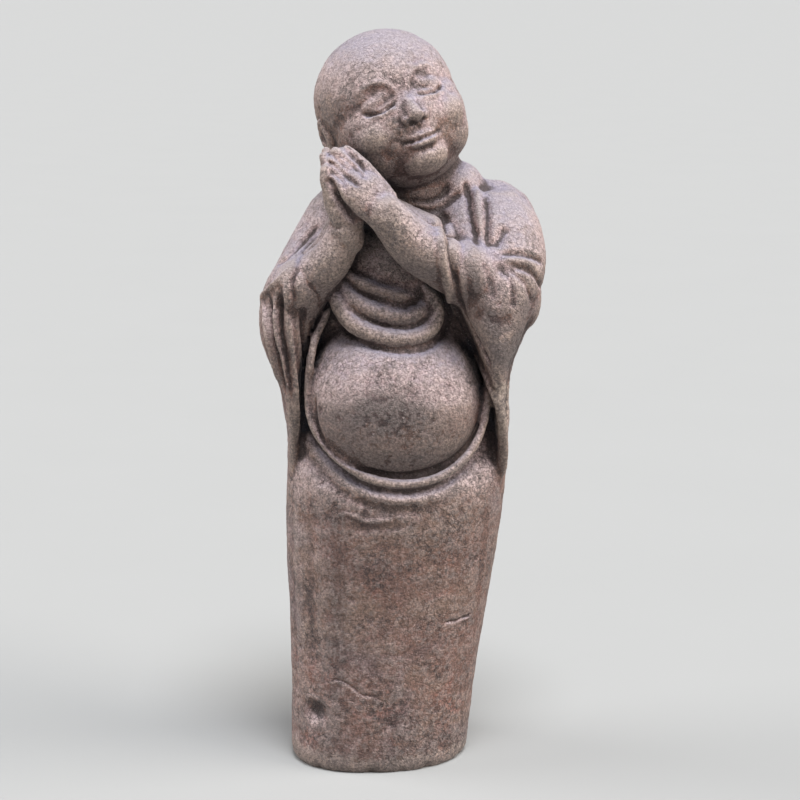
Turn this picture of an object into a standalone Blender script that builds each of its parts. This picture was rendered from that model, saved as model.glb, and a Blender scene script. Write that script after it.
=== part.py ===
"""Garden figure of a little monk asleep on his feet, cheek on his folded hands, cast in one piece.

Metres, +Z up. The figure faces -Y, and +X is on the right of someone who looks at its face.
The origin is on the underside, below the middle of the robe's foot.
"""

import bpy
import bmesh
import numpy as np
from math import cos, pi, radians, sin, tau
from mathutils import Matrix, Vector
from mathutils.bvhtree import BVHTree

HEIGHT = 1.0  # floor to crown
BASE_WIDTH = 0.249
BASE_DEPTH = 0.214
BASE_EDGE = 0.008  # rounding where the robe meets the floor
FOOT_RISE = 0.35  # how far up the robe its foot is turned to the figure's right
FOOT_TURN = 0.085
DRAIN_WIDTH = 0.030  # shallow plugged hole low on the robe
DRAIN_DEPTH = 0.006

GRAIN = 0.0042 * HEIGHT  # size of the mesh that the forms are melted into
TRIANGLES = 9700
FINE_TRIANGLES = 4400  # of them, on the face, the hands and the cloth under the chest
STONE = (0.235, 0.170, 0.145, 1.0)
ROUGHNESS = 0.93

# The figure's pose and proportions are shares of its height from here on.
# Each station of a draped form is (height, left, right, front, back).
ROBE = (
    (0.0600, -0.1240, 0.1282, -0.1085, 0.1075),
    (0.1200, -0.1234, 0.1350, -0.1110, 0.1090),
    (0.2075, -0.1252, 0.1483, -0.1170, 0.1130),
    (0.2944, -0.1284, 0.1614, -0.1260, 0.1170),
    (0.3600, -0.1280, 0.1697, -0.1330, 0.1195),
    (0.4050, -0.1262, 0.1738, -0.1330, 0.1208),
    (0.4400, -0.1262, 0.1765, -0.1130, 0.1216),
    (0.4800, -0.1245, 0.1750, -0.0990, 0.1225),
    (0.5400, -0.1220, 0.1700, -0.0940, 0.1240),
    (0.6000, -0.1250, 0.1760, -0.0900, 0.1250),
    (0.6600, -0.1310, 0.1880, -0.0860, 0.1240),
    (0.7100, -0.1200, 0.1980, -0.0780, 0.1180),
    (0.7500, -0.0890, 0.1900, -0.0680, 0.1060),
    (0.7800, -0.0500, 0.1620, -0.0540, 0.0880),
    (0.8050, -0.0200, 0.1200, -0.0420, 0.0660),
    (0.8250, 0.0100, 0.0850, -0.0200, 0.0450),
)
LEFT_SLEEVE = (
    (0.330, 0.145, 0.158, -0.028, 0.010),
    (0.380, 0.150, 0.166, -0.050, 0.020),
    (0.430, 0.154, 0.173, -0.074, 0.030),
    (0.480, 0.154, 0.174, -0.100, 0.040),
    (0.530, 0.146, 0.171, -0.124, 0.048),
    (0.570, 0.134, 0.177, -0.138, 0.052),
    (0.610, 0.118, 0.193, -0.145, 0.055),
    (0.650, 0.098, 0.209, -0.147, 0.058),
    (0.690, 0.083, 0.221, -0.138, 0.060),
    (0.730, 0.078, 0.219, -0.112, 0.060),
    (0.765, 0.080, 0.205, -0.085, 0.055),
    (0.790, 0.100, 0.180, -0.050, 0.040),
)
RIGHT_SLEEVE = (
    (0.350, -0.118, -0.106, -0.034, 0.010),
    (0.400, -0.123, -0.105, -0.052, 0.020),
    (0.440, -0.124, -0.103, -0.070, 0.030),
    (0.480, -0.1255, -0.102, -0.088, 0.038),
    (0.530, -0.130, -0.100, -0.108, 0.045),
    (0.570, -0.1455, -0.095, -0.113, 0.050),
    (0.610, -0.1585, -0.084, -0.116, 0.052),
    (0.650, -0.1530, -0.074, -0.112, 0.052),
    (0.690, -0.137, -0.066, -0.085, 0.050),
    (0.720, -0.120, -0.060, -0.050, 0.045),
)
BELLY = ((0.0215, -0.040, 0.5220), (0.1205, 0.117, 0.1165))
BELLY_FULLNESS = 2.7  # 2 is an ellipsoid, and more has a flatter front with steeper sides
BELLY_TAPER = 0.30  # how much shallower its top is
CHEST = ((0.0160, -0.018, 0.655), (0.100, 0.088, 0.120))

# Edges of cloth and strokes of carving are (across, up), or (across, deep, up), as seen from in front.
RIM = (
    (-0.0640, -0.086, 0.6400),
    (-0.0830, -0.093, 0.6010),
    (-0.0905, -0.098, 0.5650),
    (-0.0925, -0.099, 0.5300),
    (-0.0890, -0.103, 0.4990),
    (-0.0750, -0.111, 0.4705),
    (-0.0495, -0.121, 0.4450),
    (-0.0138, -0.130, 0.4238),
    (0.0270, -0.133, 0.4155),
    (0.0678, -0.130, 0.4200),
    (0.1002, -0.121, 0.4350),
    (0.1238, -0.109, 0.4580),
    (0.1383, -0.100, 0.4880),
    (0.1433, -0.094, 0.5188),
    (0.1440, -0.086, 0.5600),
)
SEAM = (
    (-0.0825, 0.5350),
    (-0.0820, 0.4980),
    (-0.0700, 0.4650),
    (-0.0372, 0.4400),
    (0.0244, 0.4272),
    (0.0807, 0.4360),
    (0.1190, 0.4640),
    (0.1325, 0.4943),
)
BIB = (
    (-0.0590, -0.090, 0.6720),
    (-0.0520, -0.100, 0.6542),
    (-0.0430, -0.107, 0.6372),
    (-0.0262, -0.113, 0.6214),
    (-0.0003, -0.117, 0.6105),
    (0.0283, -0.118, 0.6065),
    (0.0543, -0.113, 0.6105),
    (0.0700, -0.105, 0.6227),
    (0.0740, -0.098, 0.6411),
    (0.0671, -0.093, 0.6595),
    (0.0542, -0.089, 0.6760),
)
INNER_ROLLS = (
    (
        (-0.0480, -0.093, 0.6760),
        (-0.0340, -0.102, 0.6560),
        (-0.0130, -0.107, 0.6440),
        (0.0130, -0.109, 0.6360),
        (0.0370, -0.108, 0.6330),
        (0.0530, -0.103, 0.6400),
        (0.0560, -0.097, 0.6540),
    ),
    (
        (-0.0400, -0.091, 0.6880),
        (-0.0200, -0.099, 0.6760),
        (0.0040, -0.104, 0.6670),
        (0.0270, -0.104, 0.6610),
        (0.0450, -0.100, 0.6590),
    ),
)
LEFT_CUFF = (
    (0.0692, 0.7665),
    (0.0795, 0.7434),
    (0.0834, 0.7112),
    (0.0913, 0.6723),
    (0.0953, 0.6528),
    (0.1058, 0.6266),
    (0.1294, 0.5806),
    (0.1452, 0.5476),
    (0.1585, 0.5143),
    (0.1655, 0.4742),
    (0.1672, 0.4338),
    (0.1650, 0.3900),
)

HEAD_CENTRE = (0.0145, -0.020, 0.9003)
HEAD_TURN, HEAD_TILT, HEAD_LIFT = radians(17), radians(20), radians(11)

LEFT_HEEL, RIGHT_HEEL = (0.001, -0.130, 0.7715), (-0.0265, -0.124, 0.7625)
LEFT_FINGERS, RIGHT_FINGERS = (-0.66, 0.12, 0.75), (-0.37, 0.08, 0.93)
LEFT_BACK, RIGHT_PALM = (0.38, -0.89, 0.26), (0.90, -0.30, 0.31)
LEFT_FOREARM = ((0.045, -0.132, 0.733), (0.078, -0.124, 0.710), (0.120, -0.098, 0.682))
RIGHT_FOREARM = ((-0.056, -0.114, 0.716), (-0.082, -0.098, 0.685), (-0.114, -0.064, 0.633))


def at(x, y, z):
    """A point of the figure, given in shares of its height."""
    return Vector((x, y, z)) * HEIGHT


def clear_scene():
    for old in list(bpy.data.objects):
        bpy.data.objects.remove(old, do_unlink=True)


def linked(name, data):
    made = bpy.data.objects.new(name, data)
    bpy.context.scene.collection.objects.link(made)
    return made


def smooth_line(stations, count):
    """Rows read at even steps from the smooth line through the stations."""
    table = np.array(stations, float)
    ends = np.vstack([2 * table[0] - table[1], table, 2 * table[-1] - table[-2]])
    rows = []
    for step in np.linspace(0, len(table) - 1, count):
        i = min(int(step), len(table) - 2)
        t = step - i
        a, b, c, d = ends[i : i + 4]
        rows.append(
            0.5
            * (
                2 * b
                + (c - a) * t
                + (2 * a - 5 * b + 4 * c - d) * t**2
                + (3 * b - a - 3 * c + d) * t**3
            )
        )
    return np.array(rows)


def draped(name, stations, squareness, rings=64, sides=72, turned=0.0):
    """A closed form lofted through level outlines, with its ends capped and its foot turned to one side."""
    shape = bmesh.new()
    loops = []
    for z, left, right, front, back in smooth_line(stations, rings):
        loop = []
        for i in range(sides):
            turn = tau * i / sides
            c, s = cos(turn), sin(turn)
            across = abs(c) ** (2 / squareness) * (1 if c > 0 else -1)
            along = abs(s) ** (2 / squareness) * (1 if s > 0 else -1)
            x = (left + right) / 2 + (right - left) / 2 * across
            y = (front + back) / 2 + (back - front) / 2 * along
            y += turned * x * max(0.0, 1 - z / FOOT_RISE)
            loop.append(shape.verts.new(at(x, y, z)))
        loops.append(loop)
    for low, high in zip(loops, loops[1:]):
        for i in range(sides):
            j = (i + 1) % sides
            shape.faces.new((low[i], low[j], high[j], high[i]))
    shape.faces.new(reversed(loops[0]))
    shape.faces.new(loops[-1])
    mesh = bpy.data.meshes.new(name)
    shape.to_mesh(mesh)
    shape.free()
    return linked(name, mesh)


def ball(name, centre, radii, pose=None):
    bpy.ops.mesh.primitive_uv_sphere_add(segments=48, ring_count=24, radius=1)
    made = bpy.context.object
    made.name = name
    size = Matrix.Diagonal((*(Vector(radii) * HEIGHT), 1))
    made.matrix_world = (pose or Matrix()) @ Matrix.Translation(at(*centre)) @ size
    return made


def full_belly():
    """A ball with a flatter front and steeper sides, and shallower at its top."""
    made = ball("Belly", *BELLY)
    for vertex in made.data.vertices:
        x, y, z = vertex.co
        spread = (x * x + z * z) ** 0.5
        wider = spread ** (2 / BELLY_FULLNESS - 1) if spread > 0 else 1
        deeper = abs(y) ** (2 / BELLY_FULLNESS) * (1 if y > 0 else -1)
        vertex.co = (x * wider, deeper * (1 - BELLY_TAPER * max(0, z)), z * wider)
    return made


def limb(name, path, radii, pose=None):
    """A round tube with rounded ends that swells and thins along a path."""
    rows = smooth_line([(*p, r) for p, r in zip(path, radii)], 8 * len(path))
    ends = 3
    curve = bpy.data.curves.new(name, "CURVE")
    curve.dimensions = "3D"
    curve.bevel_depth = 1
    curve.bevel_resolution = 12
    curve.use_fill_caps = True
    line = curve.splines.new("POLY")
    first, last = rows[0], rows[-1]
    head = [tip_row(first, rows[1], k / ends) for k in range(ends, 0, -1)]
    tail = [tip_row(last, rows[-2], k / ends) for k in range(1, ends + 1)]
    rows = [*head, *rows, *tail]
    line.points.add(len(rows) - 1)
    for point, (x, y, z, radius) in zip(line.points, rows):
        point.co = (*at(x, y, z), 1)
        point.radius = radius * HEIGHT
    made = linked(name, curve)
    made.matrix_world = pose or Matrix()
    return made


def tip_row(end, inner, share):
    """A row of a limb's round end, a share of its radius beyond the last point."""
    way = end[:3] - inner[:3]
    way = way / np.linalg.norm(way)
    turn = share * pi / 2 * 0.97
    return (*(end[:3] + way * end[3] * sin(turn)), end[3] * cos(turn))


def fuse(name, masses, soften, grain=GRAIN):
    """Melts overlapping shapes into one skin, and rounds its creases over a length."""
    graph = bpy.context.evaluated_depsgraph_get()
    shape = bmesh.new()
    for mass in masses:
        mesh = bpy.data.meshes.new_from_object(mass.evaluated_get(graph))
        mesh.transform(mass.matrix_world)
        shape.from_mesh(mesh)
        bpy.data.meshes.remove(mesh)
        bpy.data.objects.remove(mass, do_unlink=True)
    mesh = bpy.data.meshes.new(name)
    shape.to_mesh(mesh)
    shape.free()
    skin = linked(name, mesh)
    melt = skin.modifiers.new("Melt", "REMESH")
    melt.mode = "VOXEL"
    melt.voxel_size = grain
    round_off = skin.modifiers.new("Round", "SMOOTH")
    round_off.factor = 0.5
    round_off.iterations = max(1, round(4 * (soften * HEIGHT / grain) ** 2))
    return applied(skin)


def applied(obj):
    """The object with its modifiers turned into its mesh."""
    graph = bpy.context.evaluated_depsgraph_get()
    mesh = bpy.data.meshes.new_from_object(obj.evaluated_get(graph))
    old = obj.data
    obj.modifiers.clear()
    obj.data = mesh
    bpy.data.meshes.remove(old)
    return obj


def posed(centre, turn, tilt, lift):
    """Turned to +X, tilted to -X and lifted at the chin, about a centre."""
    return (
        Matrix.Translation(at(*centre))
        @ Matrix.Rotation(-tilt, 4, "Y")
        @ Matrix.Rotation(turn, 4, "Z")
        @ Matrix.Rotation(-lift, 4, "X")
    )


def hand_pose(heel, fingers, back):
    """A hand's own frame: X to the little finger, Y to the back of the left hand, Z to the tips."""
    up = Vector(fingers).normalized()
    out = Vector(back)
    out = (out - out.project(up)).normalized()
    across = out.cross(up)
    pose = Matrix((across, out, up)).transposed().to_4x4()
    return Matrix.Translation(at(*heel)) @ pose


def make_body():
    wide, deep, edge = BASE_WIDTH / 2 / HEIGHT, BASE_DEPTH / 2 / HEIGHT, BASE_EDGE / HEIGHT
    foot = [
        (height * edge, inset * edge - wide, wide - inset * edge, inset * edge - deep, deep - inset * edge)
        for height, inset in ((-3.0, 5.0), (-1.0, 1.8), (0.3, 0.45), (1.2, 0.06), (3.0, 0.0))
    ]
    masses = [
        draped("Robe", [*foot, *ROBE], 2.25, rings=90, turned=FOOT_TURN),
        draped("LeftSleeve", LEFT_SLEEVE, 2.6),
        draped("RightSleeve", RIGHT_SLEEVE, 2.4),
        full_belly(),
        ball("Chest", *CHEST),
        ball("BibPad", (0.012, -0.062, 0.640), (0.064, 0.053, 0.036)),
        limb("LeftUpperArm", ((0.150, 0.012, 0.735), (0.163, -0.026, 0.660)), (0.066, 0.054)),
        limb("RightUpperArm", ((-0.044, 0.012, 0.740), (-0.104, -0.026, 0.650)), (0.058, 0.050)),
        limb("LeftCuff", ((0.112, -0.112, 0.694), (0.165, -0.078, 0.655)), (0.041, 0.051)),
        limb("RightCuff", ((-0.100, -0.094, 0.674), (-0.118, -0.062, 0.632)), (0.037, 0.040)),
        limb("Neck", ((0.045, 0.020, 0.740), (0.036, 0.0, 0.830)), (0.076, 0.070)),
        ball("Collar", (0.103, 0.010, 0.786), (0.040, 0.060, 0.040)),
    ]
    torso = fuse("Torso", masses, 0.0065)
    middle = (len(RIM) - 1) / 2
    rim = [0.0074 - 0.0020 * abs(i / middle - 1) for i in range(len(RIM))]
    bib = [0.007, *[0.0128] * (len(BIB) - 2), 0.006]
    cloth = [limb("Rim", RIM, rim), limb("Bib", BIB, bib)]
    for path, thick in zip(INNER_ROLLS, (0.0128, 0.0095)):
        cloth.append(limb("Roll", path, [0.6 * thick, *[thick] * (len(path) - 2), 0.5 * thick]))
    return fuse("Body", [torso, *cloth], 0.0024)


def make_head():
    pose = posed(HEAD_CENTRE, HEAD_TURN, HEAD_TILT, HEAD_LIFT)
    masses = [
        ball("Skull", (0.0005, 0.012, 0.0142), (0.0935, 0.101, 0.0893), pose),
        ball("Face", (0, -0.012, -0.030), (0.0890, 0.083, 0.083), pose),
        ball("Throat", (0, -0.014, -0.074), (0.064, 0.060, 0.042), pose),
        ball("Chin", (0, -0.057, -0.084), (0.034, 0.031, 0.025), pose),
        ball("Muzzle", (0, -0.060, -0.062), (0.033, 0.033, 0.022), pose),
    ]
    for side in (-1, 1):
        masses.append(ball("Jowl", (side * 0.033, -0.022, -0.060), (0.0485, 0.054, 0.040), pose))
        masses.append(ball("Cheek", (side * 0.044, -0.052, -0.040), (0.031, 0.034, 0.030), pose))
    skin = Skin(fuse("Skull", masses, 0.0075))
    for side in (-1, 1):
        skin.dent((side * 0.034, 0.0020), -0.0085, 0.0215, 0.0140, pose)
    skin.carve()
    nose = ((0, -0.0770, 0.012), (0, -0.0840, -0.008), (0, -0.0925, -0.026), (0, -0.0975, -0.0350))
    features = [skin.obj, limb("Nose", nose, (0.0060, 0.0072, 0.0090, 0.0100), pose)]
    for side in (-1, 1):
        features.append(ball("Wing", (side * 0.0122, -0.0890, -0.0370), (0.0078, 0.0098, 0.0070), pose))
        features.append(ball("Lid", (side * 0.0355, -0.0570, -0.0030), (0.0235, 0.0230, 0.0145), pose))
        features.append(ball("Ear", (side * 0.0900, 0.014, -0.010), (0.0085, 0.0170, 0.0280), pose))
        features.append(ball("Lobe", (side * 0.0885, 0.008, -0.035), (0.0070, 0.0095, 0.0120), pose))
    upper = ((-0.0240, -0.0625), (-0.0110, -0.0606), (0, -0.0614), (0.0110, -0.0606), (0.0240, -0.0625))
    lower = ((-0.0200, -0.0660), (-0.0100, -0.0697), (0, -0.0707), (0.0100, -0.0697), (0.0200, -0.0660))
    for line, thick in ((upper, 0.0050), (lower, 0.0059)):
        lip = [(x, -0.0892 + 18 * x * x, z) for x, z in line]
        features.append(limb("Lip", lip, (0.0024, thick, thick, thick, 0.0024), pose))
    return fuse("Head", features, 0.0024, GRAIN * 0.7)


def make_palm(pose, side):
    """The left hand is on the 1 side of its frame's own XZ plane, and the right hand on the -1 side."""
    return [
        ball("Palm", (0.001, side * 0.0145, 0.022), (0.0300, 0.0175, 0.044), pose),
        ball("Heel", (0.001, side * 0.0165, -0.006), (0.0265, 0.0200, 0.034), pose),
    ]


def make_fingers(pose, side):
    thumb = ((-0.020, side * 0.010, 0.006), (-0.027, side * 0.004, 0.040))
    fingers = [limb("Thumb", thumb, (0.012, 0.008), pose)]
    for x, tip, thick in (
        (-0.0225, 0.095, 0.0078),
        (-0.0075, 0.103, 0.0084),
        (0.0078, 0.098, 0.0082),
        (0.0228, 0.083, 0.0076),
    ):
        path = (
            (x * 1.02, side * 0.0125, 0.034),
            (x, side * 0.0120, 0.058),
            (x * 0.95, side * thick * 0.9, tip - thick),
        )
        fingers.append(limb("Finger", path, (thick * 1.14, thick * 1.10, thick * 0.88), pose))
    return fingers


def make_arms():
    left = hand_pose(LEFT_HEEL, LEFT_FINGERS, LEFT_BACK)
    right = hand_pose(RIGHT_HEEL, RIGHT_FINGERS, RIGHT_PALM)
    left_wrist = tuple(left @ at(0.001, 0.017, -0.004) / HEIGHT)
    right_wrist = tuple(right @ at(0.001, -0.017, -0.004) / HEIGHT)
    between = ((-0.060, -0.122, 0.824), (-0.048, -0.128, 0.795), (-0.035, -0.128, 0.765))
    masses = [
        *make_palm(left, 1),
        *make_palm(right, -1),
        limb("PalmWeb", between, (0.009, 0.017, 0.020)),
        limb("LeftForearm", (left_wrist, *LEFT_FOREARM), (0.0245, 0.0325, 0.0345, 0.034)),
        limb("RightForearm", (right_wrist, *RIGHT_FOREARM), (0.0215, 0.0265, 0.0310, 0.034)),
    ]
    flesh = fuse("Flesh", masses, 0.0050, GRAIN * 0.7)
    return fuse("Arms", [flesh, *make_fingers(left, 1), *make_fingers(right, -1)], 0.0018, GRAIN * 0.6)


def make_web():
    """What a caster leaves behind the arms, so that they don't stand free of the chest."""
    left = ((-0.010, -0.085, 0.780), (0.070, -0.080, 0.733), (0.130, -0.055, 0.690))
    right = ((-0.045, -0.080, 0.755), (-0.062, -0.070, 0.712), (-0.090, -0.042, 0.670))
    behind = ((-0.046, -0.085, 0.830), (-0.020, -0.070, 0.790), (0.010, -0.045, 0.760))
    return [
        limb("LeftWeb", left, (0.020, 0.028, 0.036)),
        limb("RightWeb", right, (0.020, 0.028, 0.036)),
        limb("HandWeb", behind, (0.022, 0.028, 0.032)),
    ]


def ray_down(tree, pose, u, w):
    """Where the ray along the pose's +Y, through its point (u, w), meets the skin."""
    start = pose @ Vector((u * HEIGHT, -HEIGHT, w * HEIGHT))
    way = (pose.to_3x3() @ Vector((0, 1, 0))).normalized()
    return tree.ray_cast(start, way)[0]


def seen_from(azimuth):
    """The pose of someone who walks round the figure, 0 in front of it and 90 on its own left."""
    return Matrix.Rotation(-radians(azimuth), 4, "Z")


class Skin:
    """A shape's points and normals, and the strokes of the chisel on them."""

    def __init__(self, obj):
        self.obj = obj
        mesh = obj.data
        count = len(mesh.vertices)
        self.points = np.empty(count * 3, np.float32)
        mesh.vertices.foreach_get("co", self.points)
        self.points = self.points.reshape(-1, 3)
        self.normals = np.empty(count * 3, np.float32)
        mesh.vertex_normals.foreach_get("vector", self.normals)
        self.normals = self.normals.reshape(-1, 3)
        self.moved = np.zeros(count, np.float32)
        self.tree = BVHTree.FromObject(obj, bpy.context.evaluated_depsgraph_get())

    def stroke(self, path, height, width, pose=None, fade=0.2):
        """Raises, or sinks, the skin along the line that a path of (across, up) points draws on it."""
        rows = smooth_line(path, 7 * (len(path) - 1) + 1)
        hits = [ray_down(self.tree, pose or Matrix(), *row) for row in rows]
        line = np.array([hit for hit in hits if hit is not None], np.float32)
        for _ in range(4):
            line[1:-1] = (line[:-2] + 2 * line[1:-1] + line[2:]) / 4
        reach = 3 * width * HEIGHT
        near = np.all((self.points > line.min(0) - reach) & (self.points < line.max(0) + reach), axis=1)
        index = np.nonzero(near)[0]
        points = self.points[index]
        best = np.full(len(points), np.inf, np.float32)
        share = np.zeros(len(points), np.float32)
        for i, (start, end) in enumerate(zip(line, line[1:])):
            way = end - start
            t = np.clip((points - start) @ way / max(float(way @ way), 1e-12), 0, 1)
            distance = ((points - start - t[:, None] * way) ** 2).sum(1)
            closer = distance < best
            best[closer] = distance[closer]
            share[closer] = (i + t[closer]) / (len(line) - 1)
        ends = np.clip(np.minimum(share, 1 - share) / fade, 0, 1)
        bell = np.exp(-best / (width * HEIGHT) ** 2)
        self.moved[index] += height * HEIGHT * bell * ends * ends * (3 - 2 * ends)

    def fold(self, path, height, width, pose=None, side=1, fade=0.2):
        """A raised fold of cloth, with the hollow that it leaves on one side."""
        self.stroke(path, height, width, pose, fade)
        self.stroke(beside(path, side * width * 1.7), -0.8 * height, width * 0.8, pose, fade)

    def dent(self, centre, height, wide, tall, pose=None):
        """Raises, or sinks, a round patch of the skin."""
        pose = pose or Matrix()
        middle = ray_down(self.tree, pose, *centre)
        local = (self.points - np.array(middle, np.float32)) @ np.array(pose.to_3x3(), np.float32)
        local /= np.array((wide, max(wide, tall), tall), np.float32) * HEIGHT
        self.moved += height * HEIGHT * np.exp(-(local**2).sum(1))

    def carve(self):
        self.points += self.normals * self.moved[:, None]
        self.obj.data.vertices.foreach_set("co", self.points.reshape(-1))
        self.obj.data.update()


def beside(path, offset):
    """A path of (across, up) points moved to its right."""
    table = np.array(path, float)
    way = np.gradient(table, axis=0)
    way /= np.linalg.norm(way, axis=1)[:, None]
    return table + offset * np.column_stack([way[:, 1], -way[:, 0]])


def inside(path, share, middle):
    """The (across, up) points of a path drawn in towards a middle by a share of their distance."""
    mx, mz = middle
    return [(mx + (p[0] - mx) * (1 - share), mz + (p[-1] - mz) * (1 - share)) for p in path]


def carve_front(skin):
    navel = (0.0244, 0.530)
    skin.stroke(SEAM, -0.0050, 0.0026, fade=0.08)
    skin.stroke(inside(RIM, -0.11, navel)[3:12], -0.0030, 0.0050)
    skin.stroke(inside(RIM, -0.20, navel)[3:12], 0.0030, 0.0090, fade=0.4)
    skin.stroke(inside(RIM, -0.31, navel)[4:11], -0.0018, 0.0080, fade=0.4)
    skin.stroke(inside(BIB, -0.30, (0.008, 0.662)), -0.0035, 0.0045, fade=0.1)
    for path in (
        ((0.0340, 0.7830), (0.0608, 0.7781), (0.0803, 0.7847), (0.0990, 0.8010)),
        ((0.0400, 0.7700), (0.0674, 0.7664), (0.0934, 0.7760), (0.1120, 0.7950)),
    ):
        skin.stroke(path, -0.0035, 0.0038)
    half_drain = DRAIN_WIDTH / 2 / HEIGHT
    skin.dent((-0.0877, 0.0837), -DRAIN_DEPTH / HEIGHT, half_drain, 0.9 * half_drain)


def carve_left_sleeve(skin):
    for path, height, width in (
        (((0.1156, 0.8080), (0.1180, 0.7850), (0.1197, 0.7619), (0.1305, 0.7224)), -0.0075, 0.0048),
        (((0.1290, 0.8050), (0.1300, 0.7800), (0.1310, 0.7580), (0.1325, 0.7400)), 0.0040, 0.0060),
        (((0.1404, 0.7920), (0.1419, 0.7619), (0.1410, 0.7356), (0.1488, 0.7264)), -0.0060, 0.0045),
        (((0.1669, 0.7501), (0.1488, 0.7251)), -0.0045, 0.0060),
        (((0.1530, 0.7187), (0.1838, 0.7174), (0.2034, 0.7108), (0.2165, 0.7004)), -0.0050, 0.0042),
        (((0.1560, 0.7110), (0.1860, 0.7090), (0.2060, 0.6980)), 0.0035, 0.0050),
        (((0.1640, 0.7060), (0.1945, 0.6964), (0.2076, 0.6833), (0.2143, 0.6640)), -0.0050, 0.0042),
        (((0.1600, 0.7060), (0.1842, 0.6873), (0.1948, 0.6702), (0.2016, 0.6480)), -0.0040, 0.0045),
        (((0.1500, 0.7080), (0.1675, 0.6903), (0.1729, 0.6707), (0.1740, 0.6480)), -0.0035, 0.0045),
        (((0.1340, 0.7120), (0.1440, 0.6880), (0.1480, 0.6600)), -0.0028, 0.0050),
        (((0.1120, 0.7150), (0.1170, 0.6850), (0.1230, 0.6500)), -0.0022, 0.0060),
        (((0.1200, 0.6480), (0.1480, 0.6360), (0.1800, 0.6340)), -0.0025, 0.0110),
    ):
        skin.stroke(path, height, width)


def carve_right_sleeve(skin):
    for path, height, width in (
        (((-0.0650, 0.7400), (-0.0853, 0.7213), (-0.1402, 0.6691), (-0.1535, 0.6455)), 0.0062, 0.0046),
        (((-0.0760, 0.7500), (-0.0980, 0.7260), (-0.1280, 0.6980), (-0.1480, 0.6800)), -0.0050, 0.0050),
        (((-0.0880, 0.7120), (-0.1040, 0.6990), (-0.1110, 0.6800), (-0.1060, 0.6500)), -0.0060, 0.0042),
        (((-0.0976, 0.6560), (-0.0968, 0.6033), (-0.0985, 0.5300), (-0.1022, 0.4450)), -0.0080, 0.0046),
        (((-0.1180, 0.6900), (-0.1175, 0.6400), (-0.1110, 0.5600), (-0.1070, 0.4400)), 0.0062, 0.0044),
        (((-0.1262, 0.6800), (-0.1271, 0.6214), (-0.1195, 0.5750), (-0.1130, 0.5100)), -0.0105, 0.0042),
        (((-0.1345, 0.6700), (-0.1330, 0.6130), (-0.1245, 0.5756), (-0.1180, 0.5300)), 0.0055, 0.0040),
        (((-0.1420, 0.6700), (-0.1395, 0.6150), (-0.1300, 0.5729), (-0.1220, 0.5191)), -0.0090, 0.0040),
        (((-0.1500, 0.6562), (-0.1470, 0.6130), (-0.1375, 0.5729), (-0.1270, 0.5300)), 0.0050, 0.0044),
        (((-0.0860, 0.6250), (-0.0860, 0.5900), (-0.0900, 0.5500)), 0.0030, 0.0045),
    ):
        skin.stroke(path, height, width)


def carve_cuff(skin):
    """The rolled edge of the left sleeve, from the wrist to its hanging tip."""
    skin.stroke(LEFT_CUFF, 0.0060, 0.0056, fade=0.08)
    skin.stroke(beside(LEFT_CUFF, -0.0105), -0.0068, 0.0044, fade=0.08)


def carve_back(skin):
    behind = seen_from(180)
    for path, height, width in (
        (((-0.120, 0.790), (-0.050, 0.710), (0.040, 0.620), (0.120, 0.560)), 0.0055, 0.0130),
        (((-0.150, 0.740), (-0.080, 0.640), (0.020, 0.540), (0.110, 0.470)), 0.0060, 0.0130),
        (((-0.170, 0.690), (-0.100, 0.580), (-0.010, 0.480), (0.090, 0.410)), 0.0060, 0.0130),
        (((-0.160, 0.610), (-0.100, 0.500), (-0.030, 0.410), (0.060, 0.350)), 0.0050, 0.0130),
        (((-0.140, 0.480), (-0.120, 0.330), (-0.100, 0.150)), 0.0030, 0.0140),
        (((0.060, 0.420), (0.055, 0.280), (0.050, 0.120)), 0.0030, 0.0140),
    ):
        skin.fold(path, height, width, behind)
    for azimuth, path in (
        (75, ((0.000, 0.700), (-0.020, 0.600), (-0.015, 0.500))),
        (75, ((0.035, 0.690), (0.030, 0.580), (0.040, 0.470))),
        (-75, ((0.010, 0.680), (0.020, 0.580), (0.015, 0.480))),
        (-75, ((-0.030, 0.660), (-0.030, 0.560), (-0.040, 0.450))),
    ):
        skin.fold(path, 0.0030, 0.0090, seen_from(azimuth))


def mirrored(path, side):
    return [(side * x, z) for x, z in path]


def carve_face(skin):
    """Brows that spring from the nose, the closed lids and the mouth."""
    pose = posed(HEAD_CENTRE, HEAD_TURN, HEAD_TILT, HEAD_LIFT)
    brow = ((0.0075, -0.0060), (0.0115, 0.0100), (0.0240, 0.0215), (0.0420, 0.0235), (0.0600, 0.0150))
    lashes = ((0.0140, -0.0080), (0.0240, -0.0125), (0.0360, -0.0145), (0.0480, -0.0125), (0.0590, -0.0070))
    under = ((0.0180, -0.0150), (0.0350, -0.0205), (0.0540, -0.0140))
    for side in (-1, 1):
        for path, height, width in (
            (brow, 0.0022, 0.0034),
            (lashes, -0.0040, 0.0022),
            (under, 0.0014, 0.0034),
        ):
            skin.stroke(mirrored(path, side), height, width, pose)
        skin.dent((side * 0.0265, -0.0625), -0.0026, 0.0050, 0.0045, pose)
    closed = ((-0.0265, -0.0630), (-0.0130, -0.0660), (0, -0.0655), (0.0130, -0.0660), (0.0265, -0.0630))
    skin.stroke(closed, -0.0040, 0.0019, pose, fade=0.1)
    skin.stroke(((-0.013, -0.0800), (0, -0.0790), (0.013, -0.0800)), -0.0024, 0.0045, pose)


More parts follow.
